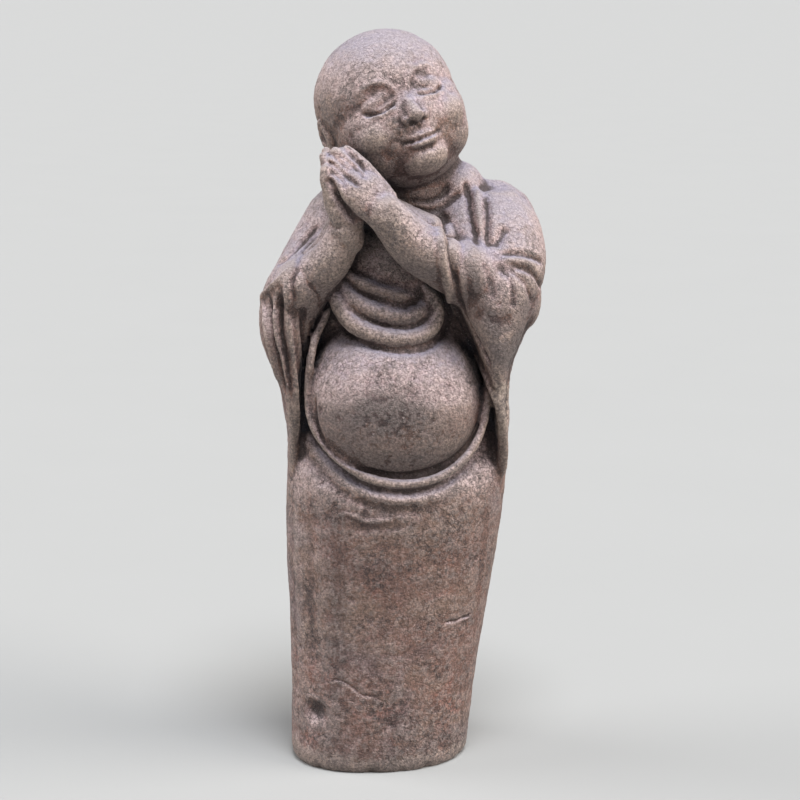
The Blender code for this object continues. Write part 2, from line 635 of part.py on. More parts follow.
def carve_arms(skin):
    for path, depth, width in (
        (((-0.0627, 0.8203), (-0.0527, 0.8001), (-0.0427, 0.7823), (-0.0251, 0.7556)), 0.0060, 0.0036),
        (((-0.0660, 0.8400), (-0.0511, 0.8311), (-0.0385, 0.8198), (-0.0205, 0.8060)), 0.0050, 0.0026),
        (((-0.0509, 0.8499), (-0.0372, 0.8374), (-0.0259, 0.8286), (-0.0110, 0.8150)), 0.0044, 0.0024),
        (((-0.0422, 0.8573), (-0.0346, 0.8485), (-0.0246, 0.8372), (-0.0090, 0.8180)), 0.0034, 0.0022),
    ):
        skin.stroke(path, -depth, width, fade=0.15)


def sculpted(obj, *carvings):
    skin = Skin(obj)
    for carving in carvings:
        carving(skin)
    skin.carve()
    return obj


def in_collection(obj, name):
    home = bpy.data.collections.get(name) or bpy.data.collections.new(name)
    if name not in bpy.context.scene.collection.children:
        bpy.context.scene.collection.children.link(home)
    for old in list(obj.users_collection):
        old.objects.unlink(obj)
    home.objects.link(obj)


def in_fine_part(figure):
    """Which points are on the face, the hands or the cloth under the chest."""
    pose = posed(HEAD_CENTRE, HEAD_TURN, HEAD_TILT, HEAD_LIFT)
    middles = (
        (pose @ at(0, -0.080, -0.025), 0.062),
        (at(-0.035, -0.135, 0.808), 0.068),
        (at(0.010, -0.110, 0.640), 0.065),
    )
    points = [v.co for v in figure.data.vertices]
    return np.array([any((p - m).length < r * HEIGHT for m, r in middles) for p in points])


def thin(figure, where, count):
    """Leaves a count of facets on one part of the skin, and the rest as it is."""
    chosen = np.nonzero(where)[0].tolist()
    group = figure.vertex_groups.new(name="Thin")
    group.add(chosen, 1.0, "REPLACE")
    sizes = [(len(face.vertices) - 2, all(where[v] for v in face.vertices)) for face in figure.data.polygons]
    total = sum(size for size, _ in sizes)
    others = sum(size for size, inside_part in sizes if not inside_part)
    facets = figure.modifiers.new("Facets", "DECIMATE")
    facets.ratio = (others + count) / total
    facets.vertex_group = group.name
    applied(figure)
    figure.vertex_groups.clear()


def cut_flat(figure):
    """The underside, cut level at the floor."""
    side, depth = 0.5 * HEIGHT, 0.1 * HEIGHT
    bpy.ops.mesh.primitive_cube_add(size=1, location=(0, 0, -depth / 2))
    floor = bpy.context.object
    floor.name = "Floor cutter"
    floor.scale = (side, side, depth)
    bpy.ops.object.transform_apply(location=False, rotation=False, scale=True)
    floor.hide_render = True
    floor.display_type = "WIRE"
    in_collection(floor, "Cutters")
    cut = figure.modifiers.new("Underside", "BOOLEAN")
    cut.operation = "DIFFERENCE"
    cut.solver = "EXACT"
    cut.object = floor


def stone():
    made = bpy.data.materials.new("Cast stone")
    made.use_nodes = True
    shader = made.node_tree.nodes["Principled BSDF"]
    shader.inputs["Base Color"].default_value = STONE
    shader.inputs["Roughness"].default_value = ROUGHNESS
    return made


def main():
    clear_scene()
    body = sculpted(make_body(), carve_front, carve_left_sleeve, carve_right_sleeve, carve_back)
    head = sculpted(make_head(), carve_face)
    figure = fuse("statue", [body, head, sculpted(make_arms(), carve_arms), *make_web()], 0.0022, GRAIN * 0.8)
    sculpted(figure, carve_cuff)
    thin(figure, ~in_fine_part(figure), TRIANGLES - FINE_TRIANGLES)
    thin(figure, in_fine_part(figure), FINE_TRIANGLES)
    thin(figure, np.ones(len(figure.data.vertices), bool), TRIANGLES)
    cut_flat(figure)
    figure.data.materials.append(stone())
    figure.data.shade_smooth()
    in_collection(figure, "Monk statue")


main()
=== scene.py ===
"""The look of the monk statue: its cast skin with the finer carving, the damage and the stone."""

import bpy
import bmesh
import numpy as np
from math import cos, pi, radians, sin, tau
from mathutils import Matrix, Vector, noise
from mathutils.bvhtree import BVHTree


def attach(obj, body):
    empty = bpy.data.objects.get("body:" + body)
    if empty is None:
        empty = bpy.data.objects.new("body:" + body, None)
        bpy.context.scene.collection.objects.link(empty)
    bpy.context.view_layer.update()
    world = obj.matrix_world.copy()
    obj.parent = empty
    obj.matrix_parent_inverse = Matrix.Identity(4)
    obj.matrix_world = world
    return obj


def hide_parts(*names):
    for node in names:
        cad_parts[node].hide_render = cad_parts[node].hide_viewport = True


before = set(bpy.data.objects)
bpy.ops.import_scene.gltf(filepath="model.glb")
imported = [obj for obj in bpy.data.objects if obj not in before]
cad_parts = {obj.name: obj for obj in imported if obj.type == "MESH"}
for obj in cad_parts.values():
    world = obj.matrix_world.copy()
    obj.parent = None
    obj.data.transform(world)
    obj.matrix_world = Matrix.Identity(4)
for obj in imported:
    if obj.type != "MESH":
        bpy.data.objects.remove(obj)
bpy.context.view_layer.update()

HEIGHT = 1.0  # floor to crown
BASE_WIDTH = 0.249
BASE_DEPTH = 0.214
BASE_EDGE = 0.008  # rounding where the robe meets the floor
FOOT_RISE = 0.35  # how far up the robe its foot is turned to the figure's right
FOOT_TURN = 0.085
DRAIN_WIDTH = 0.030  # shallow plugged hole low on the robe
DRAIN_DEPTH = 0.006

GRAIN = 0.0018 * HEIGHT  # size of the mesh that the forms are melted into
TRIANGLES = 196000

# The figure's pose and proportions are shares of its height from here on.
# Each station of a draped form is (height, left, right, front, back).
ROBE = (
    (0.0600, -0.1240, 0.1282, -0.1085, 0.1075),
    (0.1200, -0.1234, 0.1350, -0.1110, 0.1090),
    (0.2075, -0.1252, 0.1483, -0.1170, 0.1130),
    (0.2944, -0.1284, 0.1614, -0.1260, 0.1170),
    (0.3600, -0.1280, 0.1697, -0.1330, 0.1195),
    (0.4050, -0.1262, 0.1738, -0.1330, 0.1208),
    (0.4400, -0.1262, 0.1765, -0.1130, 0.1216),
    (0.4800, -0.1245, 0.1750, -0.0990, 0.1225),
    (0.5400, -0.1220, 0.1700, -0.0940, 0.1240),
    (0.6000, -0.1250, 0.1760, -0.0900, 0.1250),
    (0.6600, -0.1310, 0.1880, -0.0860, 0.1240),
    (0.7100, -0.1200, 0.1980, -0.0780, 0.1180),
    (0.7500, -0.0890, 0.1900, -0.0680, 0.1060),
    (0.7800, -0.0500, 0.1620, -0.0540, 0.0880),
    (0.8050, -0.0200, 0.1200, -0.0420, 0.0660),
    (0.8250, 0.0100, 0.0850, -0.0200, 0.0450),
)
LEFT_SLEEVE = (
    (0.330, 0.145, 0.158, -0.028, 0.010),
    (0.380, 0.150, 0.166, -0.050, 0.020),
    (0.430, 0.154, 0.173, -0.074, 0.030),
    (0.480, 0.154, 0.174, -0.100, 0.040),
    (0.530, 0.146, 0.171, -0.124, 0.048),
    (0.570, 0.134, 0.177, -0.138, 0.052),
    (0.610, 0.118, 0.193, -0.145, 0.055),
    (0.650, 0.098, 0.209, -0.147, 0.058),
    (0.690, 0.083, 0.221, -0.138, 0.060),
    (0.730, 0.078, 0.219, -0.112, 0.060),
    (0.765, 0.080, 0.205, -0.085, 0.055),
    (0.790, 0.100, 0.180, -0.050, 0.040),
)
RIGHT_SLEEVE = (
    (0.350, -0.118, -0.106, -0.034, 0.010),
    (0.400, -0.123, -0.105, -0.052, 0.020),
    (0.440, -0.124, -0.103, -0.070, 0.030),
    (0.480, -0.1255, -0.102, -0.088, 0.038),
    (0.530, -0.130, -0.100, -0.108, 0.045),
    (0.570, -0.1455, -0.095, -0.113, 0.050),
    (0.610, -0.1585, -0.084, -0.116, 0.052),
    (0.650, -0.1530, -0.074, -0.112, 0.052),
    (0.690, -0.137, -0.066, -0.085, 0.050),
    (0.720, -0.120, -0.060, -0.050, 0.045),
)
BELLY = ((0.0215, -0.040, 0.5220), (0.1205, 0.117, 0.1165))
BELLY_FULLNESS = 2.7  # 2 is an ellipsoid, and more has a flatter front with steeper sides
BELLY_TAPER = 0.30  # how much shallower its top is
CHEST = ((0.0160, -0.018, 0.655), (0.100, 0.088, 0.120))

# Edges of cloth and strokes of carving are (across, up), or (across, deep, up), as seen from in front.
RIM = (
    (-0.0640, -0.086, 0.6400),
    (-0.0830, -0.093, 0.6010),
    (-0.0905, -0.098, 0.5650),
    (-0.0925, -0.099, 0.5300),
    (-0.0890, -0.103, 0.4990),
    (-0.0750, -0.111, 0.4705),
    (-0.0495, -0.121, 0.4450),
    (-0.0138, -0.130, 0.4238),
    (0.0270, -0.133, 0.4155),
    (0.0678, -0.130, 0.4200),
    (0.1002, -0.121, 0.4350),
    (0.1238, -0.109, 0.4580),
    (0.1383, -0.100, 0.4880),
    (0.1433, -0.094, 0.5188),
    (0.1440, -0.086, 0.5600),
)
SEAM = (
    (-0.0825, 0.5350),
    (-0.0820, 0.4980),
    (-0.0700, 0.4650),
    (-0.0372, 0.4400),
    (0.0244, 0.4272),
    (0.0807, 0.4360),
    (0.1190, 0.4640),
    (0.1325, 0.4943),
)
BIB = (
    (-0.0590, -0.090, 0.6720),
    (-0.0520, -0.100, 0.6542),
    (-0.0430, -0.107, 0.6372),
    (-0.0262, -0.113, 0.6214),
    (-0.0003, -0.117, 0.6105),
    (0.0283, -0.118, 0.6065),
    (0.0543, -0.113, 0.6105),
    (0.0700, -0.105, 0.6227),
    (0.0740, -0.098, 0.6411),
    (0.0671, -0.093, 0.6595),
    (0.0542, -0.089, 0.6760),
)
INNER_ROLLS = (
    (
        (-0.0480, -0.093, 0.6760),
        (-0.0340, -0.102, 0.6560),
        (-0.0130, -0.107, 0.6440),
        (0.0130, -0.109, 0.6360),
        (0.0370, -0.108, 0.6330),
        (0.0530, -0.103, 0.6400),
        (0.0560, -0.097, 0.6540),
    ),
    (
        (-0.0400, -0.091, 0.6880),
        (-0.0200, -0.099, 0.6760),
        (0.0040, -0.104, 0.6670),
        (0.0270, -0.104, 0.6610),
        (0.0450, -0.100, 0.6590),
    ),
)
LEFT_CUFF = (
    (0.0692, 0.7665),
    (0.0795, 0.7434),
    (0.0834, 0.7112),
    (0.0913, 0.6723),
    (0.0953, 0.6528),
    (0.1058, 0.6266),
    (0.1294, 0.5806),
    (0.1452, 0.5476),
    (0.1585, 0.5143),
    (0.1655, 0.4742),
    (0.1672, 0.4338),
    (0.1650, 0.3900),
)

HEAD_CENTRE = (0.0145, -0.020, 0.9003)
HEAD_TURN, HEAD_TILT, HEAD_LIFT = radians(17), radians(20), radians(11)

LEFT_HEEL, RIGHT_HEEL = (0.001, -0.130, 0.7715), (-0.0265, -0.124, 0.7625)
LEFT_FINGERS, RIGHT_FINGERS = (-0.66, 0.12, 0.75), (-0.37, 0.08, 0.93)
LEFT_BACK, RIGHT_PALM = (0.38, -0.89, 0.26), (0.90, -0.30, 0.31)
LEFT_FOREARM = ((0.045, -0.132, 0.733), (0.078, -0.124, 0.710), (0.120, -0.098, 0.682))
RIGHT_FOREARM = ((-0.056, -0.114, 0.716), (-0.082, -0.098, 0.685), (-0.114, -0.064, 0.633))


def at(x, y, z):
    """A point of the figure, given in shares of its height."""
    return Vector((x, y, z)) * HEIGHT


def linked(name, data):
    made = bpy.data.objects.new(name, data)
    bpy.context.scene.collection.objects.link(made)
    return made


def smooth_line(stations, count):
    """Rows read at even steps from the smooth line through the stations."""
    table = np.array(stations, float)
    ends = np.vstack([2 * table[0] - table[1], table, 2 * table[-1] - table[-2]])
    rows = []
    for step in np.linspace(0, len(table) - 1, count):
        i = min(int(step), len(table) - 2)
        t = step - i
        a, b, c, d = ends[i : i + 4]
        rows.append(
            0.5
            * (
                2 * b
                + (c - a) * t
                + (2 * a - 5 * b + 4 * c - d) * t**2
                + (3 * b - a - 3 * c + d) * t**3
            )
        )
    return np.array(rows)


def draped(name, stations, squareness, rings=64, sides=72, turned=0.0):
    """A closed form lofted through level outlines, with its ends capped and its foot turned to one side."""
    shape = bmesh.new()
    loops = []
    for z, left, right, front, back in smooth_line(stations, rings):
        loop = []
        for i in range(sides):
            turn = tau * i / sides
            c, s = cos(turn), sin(turn)
            across = abs(c) ** (2 / squareness) * (1 if c > 0 else -1)
            along = abs(s) ** (2 / squareness) * (1 if s > 0 else -1)
            x = (left + right) / 2 + (right - left) / 2 * across
            y = (front + back) / 2 + (back - front) / 2 * along
            y += turned * x * max(0.0, 1 - z / FOOT_RISE)
            loop.append(shape.verts.new(at(x, y, z)))
        loops.append(loop)
    for low, high in zip(loops, loops[1:]):
        for i in range(sides):
            j = (i + 1) % sides
            shape.faces.new((low[i], low[j], high[j], high[i]))
    shape.faces.new(reversed(loops[0]))
    shape.faces.new(loops[-1])
    mesh = bpy.data.meshes.new(name)
    shape.to_mesh(mesh)
    shape.free()
    return linked(name, mesh)


def ball(name, centre, radii, pose=None):
    bpy.ops.mesh.primitive_uv_sphere_add(segments=48, ring_count=24, radius=1)
    made = bpy.context.object
    made.name = name
    size = Matrix.Diagonal((*(Vector(radii) * HEIGHT), 1))
    made.matrix_world = (pose or Matrix()) @ Matrix.Translation(at(*centre)) @ size
    return made


def full_belly():
    """A ball with a flatter front and steeper sides, and shallower at its top."""
    made = ball("Belly", *BELLY)
    for vertex in made.data.vertices:
        x, y, z = vertex.co
        spread = (x * x + z * z) ** 0.5
        wider = spread ** (2 / BELLY_FULLNESS - 1) if spread > 0 else 1
        deeper = abs(y) ** (2 / BELLY_FULLNESS) * (1 if y > 0 else -1)
        vertex.co = (x * wider, deeper * (1 - BELLY_TAPER * max(0, z)), z * wider)
    return made


def limb(name, path, radii, pose=None):
    """A round tube with rounded ends that swells and thins along a path."""
    rows = smooth_line([(*p, r) for p, r in zip(path, radii)], 8 * len(path))
    ends = 3
    curve = bpy.data.curves.new(name, "CURVE")
    curve.dimensions = "3D"
    curve.bevel_depth = 1
    curve.bevel_resolution = 12
    curve.use_fill_caps = True
    line = curve.splines.new("POLY")
    first, last = rows[0], rows[-1]
    head = [tip_row(first, rows[1], k / ends) for k in range(ends, 0, -1)]
    tail = [tip_row(last, rows[-2], k / ends) for k in range(1, ends + 1)]
    rows = [*head, *rows, *tail]
    line.points.add(len(rows) - 1)
    for point, (x, y, z, radius) in zip(line.points, rows):
        point.co = (*at(x, y, z), 1)
        point.radius = radius * HEIGHT
    made = linked(name, curve)
    made.matrix_world = pose or Matrix()
    return made


def tip_row(end, inner, share):
    """A row of a limb's round end, a share of its radius beyond the last point."""
    way = end[:3] - inner[:3]
    way = way / np.linalg.norm(way)
    turn = share * pi / 2 * 0.97
    return (*(end[:3] + way * end[3] * sin(turn)), end[3] * cos(turn))


def fuse(name, masses, soften, grain=GRAIN):
    """Melts overlapping shapes into one skin, and rounds its creases over a length."""
    graph = bpy.context.evaluated_depsgraph_get()
    shape = bmesh.new()
    for mass in masses:
        mesh = bpy.data.meshes.new_from_object(mass.evaluated_get(graph))
        mesh.transform(mass.matrix_world)
        shape.from_mesh(mesh)
        bpy.data.meshes.remove(mesh)
        bpy.data.objects.remove(mass, do_unlink=True)
    mesh = bpy.data.meshes.new(name)
    shape.to_mesh(mesh)
    shape.free()
    skin = linked(name, mesh)
    melt = skin.modifiers.new("Melt", "REMESH")
    melt.mode = "VOXEL"
    melt.voxel_size = grain
    round_off = skin.modifiers.new("Round", "SMOOTH")
    round_off.factor = 0.5
    round_off.iterations = max(1, round(4 * (soften * HEIGHT / grain) ** 2))
    return applied(skin)


def applied(obj):
    """The object with its modifiers turned into its mesh."""
    graph = bpy.context.evaluated_depsgraph_get()
    mesh = bpy.data.meshes.new_from_object(obj.evaluated_get(graph))
    old = obj.data
    obj.modifiers.clear()
    obj.data = mesh
    bpy.data.meshes.remove(old)
    return obj


def posed(centre, turn, tilt, lift):
    """Turned to +X, tilted to -X and lifted at the chin, about a centre."""
    return (
        Matrix.Translation(at(*centre))
        @ Matrix.Rotation(-tilt, 4, "Y")
        @ Matrix.Rotation(turn, 4, "Z")
        @ Matrix.Rotation(-lift, 4, "X")
    )


def hand_pose(heel, fingers, back):
    """A hand's own frame: X to the little finger, Y to the back of the left hand, Z to the tips."""
    up = Vector(fingers).normalized()
    out = Vector(back)
    out = (out - out.project(up)).normalized()
    across = out.cross(up)
    pose = Matrix((across, out, up)).transposed().to_4x4()
    return Matrix.Translation(at(*heel)) @ pose


def make_body():
    wide, deep, edge = BASE_WIDTH / 2 / HEIGHT, BASE_DEPTH / 2 / HEIGHT, BASE_EDGE / HEIGHT
    foot = [
        (height * edge, inset * edge - wide, wide - inset * edge, inset * edge - deep, deep - inset * edge)
        for height, inset in ((-3.0, 5.0), (-1.0, 1.8), (0.3, 0.45), (1.2, 0.06), (3.0, 0.0))
    ]
    masses = [
        draped("Robe", [*foot, *ROBE], 2.25, rings=90, turned=FOOT_TURN),
        draped("LeftSleeve", LEFT_SLEEVE, 2.6),
        draped("RightSleeve", RIGHT_SLEEVE, 2.4),
        full_belly(),
        ball("Chest", *CHEST),
        ball("BibPad", (0.012, -0.062, 0.640), (0.064, 0.053, 0.036)),
        limb("LeftUpperArm", ((0.150, 0.012, 0.735), (0.163, -0.026, 0.660)), (0.066, 0.054)),
        limb("RightUpperArm", ((-0.044, 0.012, 0.740), (-0.104, -0.026, 0.650)), (0.058, 0.050)),
        limb("LeftCuff", ((0.112, -0.112, 0.694), (0.165, -0.078, 0.655)), (0.041, 0.051)),
        limb("RightCuff", ((-0.100, -0.094, 0.674), (-0.118, -0.062, 0.632)), (0.037, 0.040)),
        limb("Neck", ((0.045, 0.020, 0.740), (0.036, 0.0, 0.830)), (0.076, 0.070)),
        ball("Collar", (0.103, 0.010, 0.786), (0.040, 0.060, 0.040)),
    ]
    torso = fuse("Torso", masses, 0.0065)
    middle = (len(RIM) - 1) / 2
    rim = [0.0074 - 0.0020 * abs(i / middle - 1) for i in range(len(RIM))]
    bib = [0.007, *[0.0128] * (len(BIB) - 2), 0.006]
    cloth = [limb("Rim", RIM, rim), limb("Bib", BIB, bib)]
    for path, thick in zip(INNER_ROLLS, (0.0128, 0.0095)):
        cloth.append(limb("Roll", path, [0.6 * thick, *[thick] * (len(path) - 2), 0.5 * thick]))
    return fuse("Body", [torso, *cloth], 0.0024)


def make_head():
    pose = posed(HEAD_CENTRE, HEAD_TURN, HEAD_TILT, HEAD_LIFT)
    masses = [
        ball("Skull", (0.0005, 0.012, 0.0142), (0.0935, 0.101, 0.0893), pose),
        ball("Face", (0, -0.012, -0.030), (0.0890, 0.083, 0.083), pose),
        ball("Throat", (0, -0.014, -0.074), (0.064, 0.060, 0.042), pose),
        ball("Chin", (0, -0.057, -0.084), (0.034, 0.031, 0.025), pose),
        ball("Muzzle", (0, -0.060, -0.062), (0.033, 0.033, 0.022), pose),
    ]
    for side in (-1, 1):
        masses.append(ball("Jowl", (side * 0.033, -0.022, -0.060), (0.0485, 0.054, 0.040), pose))
        masses.append(ball("Cheek", (side * 0.044, -0.052, -0.040), (0.031, 0.034, 0.030), pose))
    skin = Skin(fuse("Skull", masses, 0.0075))
    for side in (-1, 1):
        skin.dent((side * 0.034, 0.0020), -0.0085, 0.0215, 0.0140, pose)
    skin.carve()
    nose = ((0, -0.0770, 0.012), (0, -0.0840, -0.008), (0, -0.0925, -0.026), (0, -0.0975, -0.0350))
    features = [skin.obj, limb("Nose", nose, (0.0060, 0.0072, 0.0090, 0.0100), pose)]
    for side in (-1, 1):
        features.append(ball("Wing", (side * 0.0122, -0.0890, -0.0370), (0.0078, 0.0098, 0.0070), pose))
        features.append(ball("Lid", (side * 0.0355, -0.0570, -0.0030), (0.0235, 0.0230, 0.0145), pose))
        features.append(ball("Ear", (side * 0.0900, 0.014, -0.010), (0.0085, 0.0170, 0.0280), pose))
        features.append(ball("Lobe", (side * 0.0885, 0.008, -0.035), (0.0070, 0.0095, 0.0120), pose))
    upper = ((-0.0240, -0.0625), (-0.0110, -0.0606), (0, -0.0614), (0.0110, -0.0606), (0.0240, -0.0625))
    lower = ((-0.0200, -0.0660), (-0.0100, -0.0697), (0, -0.0707), (0.0100, -0.0697), (0.0200, -0.0660))
    for line, thick in ((upper, 0.0050), (lower, 0.0059)):
        lip = [(x, -0.0892 + 18 * x * x, z) for x, z in line]
        features.append(limb("Lip", lip, (0.0024, thick, thick, thick, 0.0024), pose))
    return fuse("Head", features, 0.0024, GRAIN * 0.7)


def make_palm(pose, side):
    """The left hand is on the 1 side of its frame's own XZ plane, and the right hand on the -1 side."""
    return [
        ball("Palm", (0.001, side * 0.0145, 0.022), (0.0300, 0.0175, 0.044), pose),
        ball("Heel", (0.001, side * 0.0165, -0.006), (0.0265, 0.0200, 0.034), pose),
    ]


def make_fingers(pose, side):
    thumb = ((-0.020, side * 0.010, 0.006), (-0.027, side * 0.004, 0.040))
    fingers = [limb("Thumb", thumb, (0.012, 0.008), pose)]
    for x, tip, thick in (
        (-0.0225, 0.095, 0.0078),
        (-0.0075, 0.103, 0.0084),
        (0.0078, 0.098, 0.0082),
        (0.0228, 0.083, 0.0076),
    ):
        path = (
            (x * 1.02, side * 0.0125, 0.034),
            (x, side * 0.0120, 0.058),
            (x * 0.95, side * thick * 0.9, tip - thick),
        )
        fingers.append(limb("Finger", path, (thick * 1.14, thick * 1.10, thick * 0.88), pose))
    return fingers


def make_arms():
    left = hand_pose(LEFT_HEEL, LEFT_FINGERS, LEFT_BACK)
    right = hand_pose(RIGHT_HEEL, RIGHT_FINGERS, RIGHT_PALM)
    left_wrist = tuple(left @ at(0.001, 0.017, -0.004) / HEIGHT)
    right_wrist = tuple(right @ at(0.001, -0.017, -0.004) / HEIGHT)
    between = ((-0.060, -0.122, 0.824), (-0.048, -0.128, 0.795), (-0.035, -0.128, 0.765))
    masses = [
        *make_palm(left, 1),
        *make_palm(right, -1),
        limb("PalmWeb", between, (0.009, 0.017, 0.020)),
        limb("LeftForearm", (left_wrist, *LEFT_FOREARM), (0.0245, 0.0325, 0.0345, 0.034)),
        limb("RightForearm", (right_wrist, *RIGHT_FOREARM), (0.0215, 0.0265, 0.0310, 0.034)),
    ]
    flesh = fuse("Flesh", masses, 0.0050, GRAIN * 0.7)
    return fuse("Arms", [flesh, *make_fingers(left, 1), *make_fingers(right, -1)], 0.0018, GRAIN * 0.6)


def make_web():
    """What a caster leaves behind the arms, so that they don't stand free of the chest."""
    left = ((-0.010, -0.085, 0.780), (0.070, -0.080, 0.733), (0.130, -0.055, 0.690))
    right = ((-0.045, -0.080, 0.755), (-0.062, -0.070, 0.712), (-0.090, -0.042, 0.670))
    behind = ((-0.046, -0.085, 0.830), (-0.020, -0.070, 0.790), (0.010, -0.045, 0.760))
    return [
        limb("LeftWeb", left, (0.020, 0.028, 0.036)),
        limb("RightWeb", right, (0.020, 0.028, 0.036)),
        limb("HandWeb", behind, (0.022, 0.028, 0.032)),
    ]


def ray_down(tree, pose, u, w):
    """Where the ray along the pose's +Y, through its point (u, w), meets the skin."""
    start = pose @ Vector((u * HEIGHT, -HEIGHT, w * HEIGHT))
    way = (pose.to_3x3() @ Vector((0, 1, 0))).normalized()
    return tree.ray_cast(start, way)[0]


def seen_from(azimuth):
    """The pose of someone who walks round the figure, 0 in front of it and 90 on its own left."""
    return Matrix.Rotation(-radians(azimuth), 4, "Z")


class Skin:
    """A shape's points and normals, and the strokes of the chisel on them."""

    def __init__(self, obj):
        self.obj = obj
        mesh = obj.data
        count = len(mesh.vertices)
        self.points = np.empty(count * 3, np.float32)
        mesh.vertices.foreach_get("co", self.points)
        self.points = self.points.reshape(-1, 3)
        self.normals = np.empty(count * 3, np.float32)
        mesh.vertex_normals.foreach_get("vector", self.normals)
        self.normals = self.normals.reshape(-1, 3)
        self.moved = np.zeros(count, np.float32)
        self.tree = BVHTree.FromObject(obj, bpy.context.evaluated_depsgraph_get())

    def stroke(self, path, height, width, pose=None, fade=0.2):
        """Raises, or sinks, the skin along the line that a path of (across, up) points draws on it."""
        rows = smooth_line(path, 7 * (len(path) - 1) + 1)
        hits = [ray_down(self.tree, pose or Matrix(), *row) for row in rows]
        line = np.array([hit for hit in hits if hit is not None], np.float32)
        for _ in range(4):
            line[1:-1] = (line[:-2] + 2 * line[1:-1] + line[2:]) / 4
        reach = 3 * width * HEIGHT
        near = np.all((self.points > line.min(0) - reach) & (self.points < line.max(0) + reach), axis=1)
        index = np.nonzero(near)[0]
        points = self.points[index]
        best = np.full(len(points), np.inf, np.float32)
        share = np.zeros(len(points), np.float32)
        for i, (start, end) in enumerate(zip(line, line[1:])):
            way = end - start
            t = np.clip((points - start) @ way / max(float(way @ way), 1e-12), 0, 1)
            distance = ((points - start - t[:, None] * way) ** 2).sum(1)
            closer = distance < best
            best[closer] = distance[closer]
            share[closer] = (i + t[closer]) / (len(line) - 1)
        ends = np.clip(np.minimum(share, 1 - share) / fade, 0, 1)
        bell = np.exp(-best / (width * HEIGHT) ** 2)
        self.moved[index] += height * HEIGHT * bell * ends * ends * (3 - 2 * ends)

    def fold(self, path, height, width, pose=None, side=1, fade=0.2):
        """A raised fold of cloth, with the hollow that it leaves on one side."""
        self.stroke(path, height, width, pose, fade)
        self.stroke(beside(path, side * width * 1.7), -0.8 * height, width * 0.8, pose, fade)

    def dent(self, centre, height, wide, tall, pose=None):
        """Raises, or sinks, a round patch of the skin."""
        pose = pose or Matrix()
        middle = ray_down(self.tree, pose, *centre)
        local = (self.points - np.array(middle, np.float32)) @ np.array(pose.to_3x3(), np.float32)
        local /= np.array((wide, max(wide, tall), tall), np.float32) * HEIGHT
        self.moved += height * HEIGHT * np.exp(-(local**2).sum(1))

    def carve(self):
        self.points += self.normals * self.moved[:, None]
        self.obj.data.vertices.foreach_set("co", self.points.reshape(-1))
        self.obj.data.update()


def beside(path, offset):
    """A path of (across, up) points moved to its right."""
    table = np.array(path, float)
    way = np.gradient(table, axis=0)
    way /= np.linalg.norm(way, axis=1)[:, None]
    return table + offset * np.column_stack([way[:, 1], -way[:, 0]])


def inside(path, share, middle):
    """The (across, up) points of a path drawn in towards a middle by a share of their distance."""
    mx, mz = middle
    return [(mx + (p[0] - mx) * (1 - share), mz + (p[-1] - mz) * (1 - share)) for p in path]


def carve_front(skin):
    navel = (0.0244, 0.530)
    skin.stroke(SEAM, -0.0050, 0.0026, fade=0.08)
    skin.stroke(inside(RIM, -0.11, navel)[3:12], -0.0030, 0.0050)
    skin.stroke(inside(RIM, -0.20, navel)[3:12], 0.0030, 0.0090, fade=0.4)
    skin.stroke(inside(RIM, -0.31, navel)[4:11], -0.0018, 0.0080, fade=0.4)
    skin.stroke(inside(BIB, -0.30, (0.008, 0.662)), -0.0035, 0.0045, fade=0.1)
    for path in (
        ((0.0340, 0.7830), (0.0608, 0.7781), (0.0803, 0.7847), (0.0990, 0.8010)),
        ((0.0400, 0.7700), (0.0674, 0.7664), (0.0934, 0.7760), (0.1120, 0.7950)),
    ):
        skin.stroke(path, -0.0035, 0.0038)
    half_drain = DRAIN_WIDTH / 2 / HEIGHT
    skin.dent((-0.0877, 0.0837), -DRAIN_DEPTH / HEIGHT, half_drain, 0.9 * half_drain)


def carve_left_sleeve(skin):
    for path, height, width in (
        (((0.1156, 0.8080), (0.1180, 0.7850), (0.1197, 0.7619), (0.1305, 0.7224)), -0.0075, 0.0048),
        (((0.1290, 0.8050), (0.1300, 0.7800), (0.1310, 0.7580), (0.1325, 0.7400)), 0.0040, 0.0060),
        (((0.1404, 0.7920), (0.1419, 0.7619), (0.1410, 0.7356), (0.1488, 0.7264)), -0.0060, 0.0045),
        (((0.1669, 0.7501), (0.1488, 0.7251)), -0.0045, 0.0060),
        (((0.1530, 0.7187), (0.1838, 0.7174), (0.2034, 0.7108), (0.2165, 0.7004)), -0.0050, 0.0042),
        (((0.1560, 0.7110), (0.1860, 0.7090), (0.2060, 0.6980)), 0.0035, 0.0050),
        (((0.1640, 0.7060), (0.1945, 0.6964), (0.2076, 0.6833), (0.2143, 0.6640)), -0.0050, 0.0042),
        (((0.1600, 0.7060), (0.1842, 0.6873), (0.1948, 0.6702), (0.2016, 0.6480)), -0.0040, 0.0045),
        (((0.1500, 0.7080), (0.1675, 0.6903), (0.1729, 0.6707), (0.1740, 0.6480)), -0.0035, 0.0045),
        (((0.1340, 0.7120), (0.1440, 0.6880), (0.1480, 0.6600)), -0.0028, 0.0050),
        (((0.1120, 0.7150), (0.1170, 0.6850), (0.1230, 0.6500)), -0.0022, 0.0060),
        (((0.1200, 0.6480), (0.1480, 0.6360), (0.1800, 0.6340)), -0.0025, 0.0110),
    ):
        skin.stroke(path, height, width)


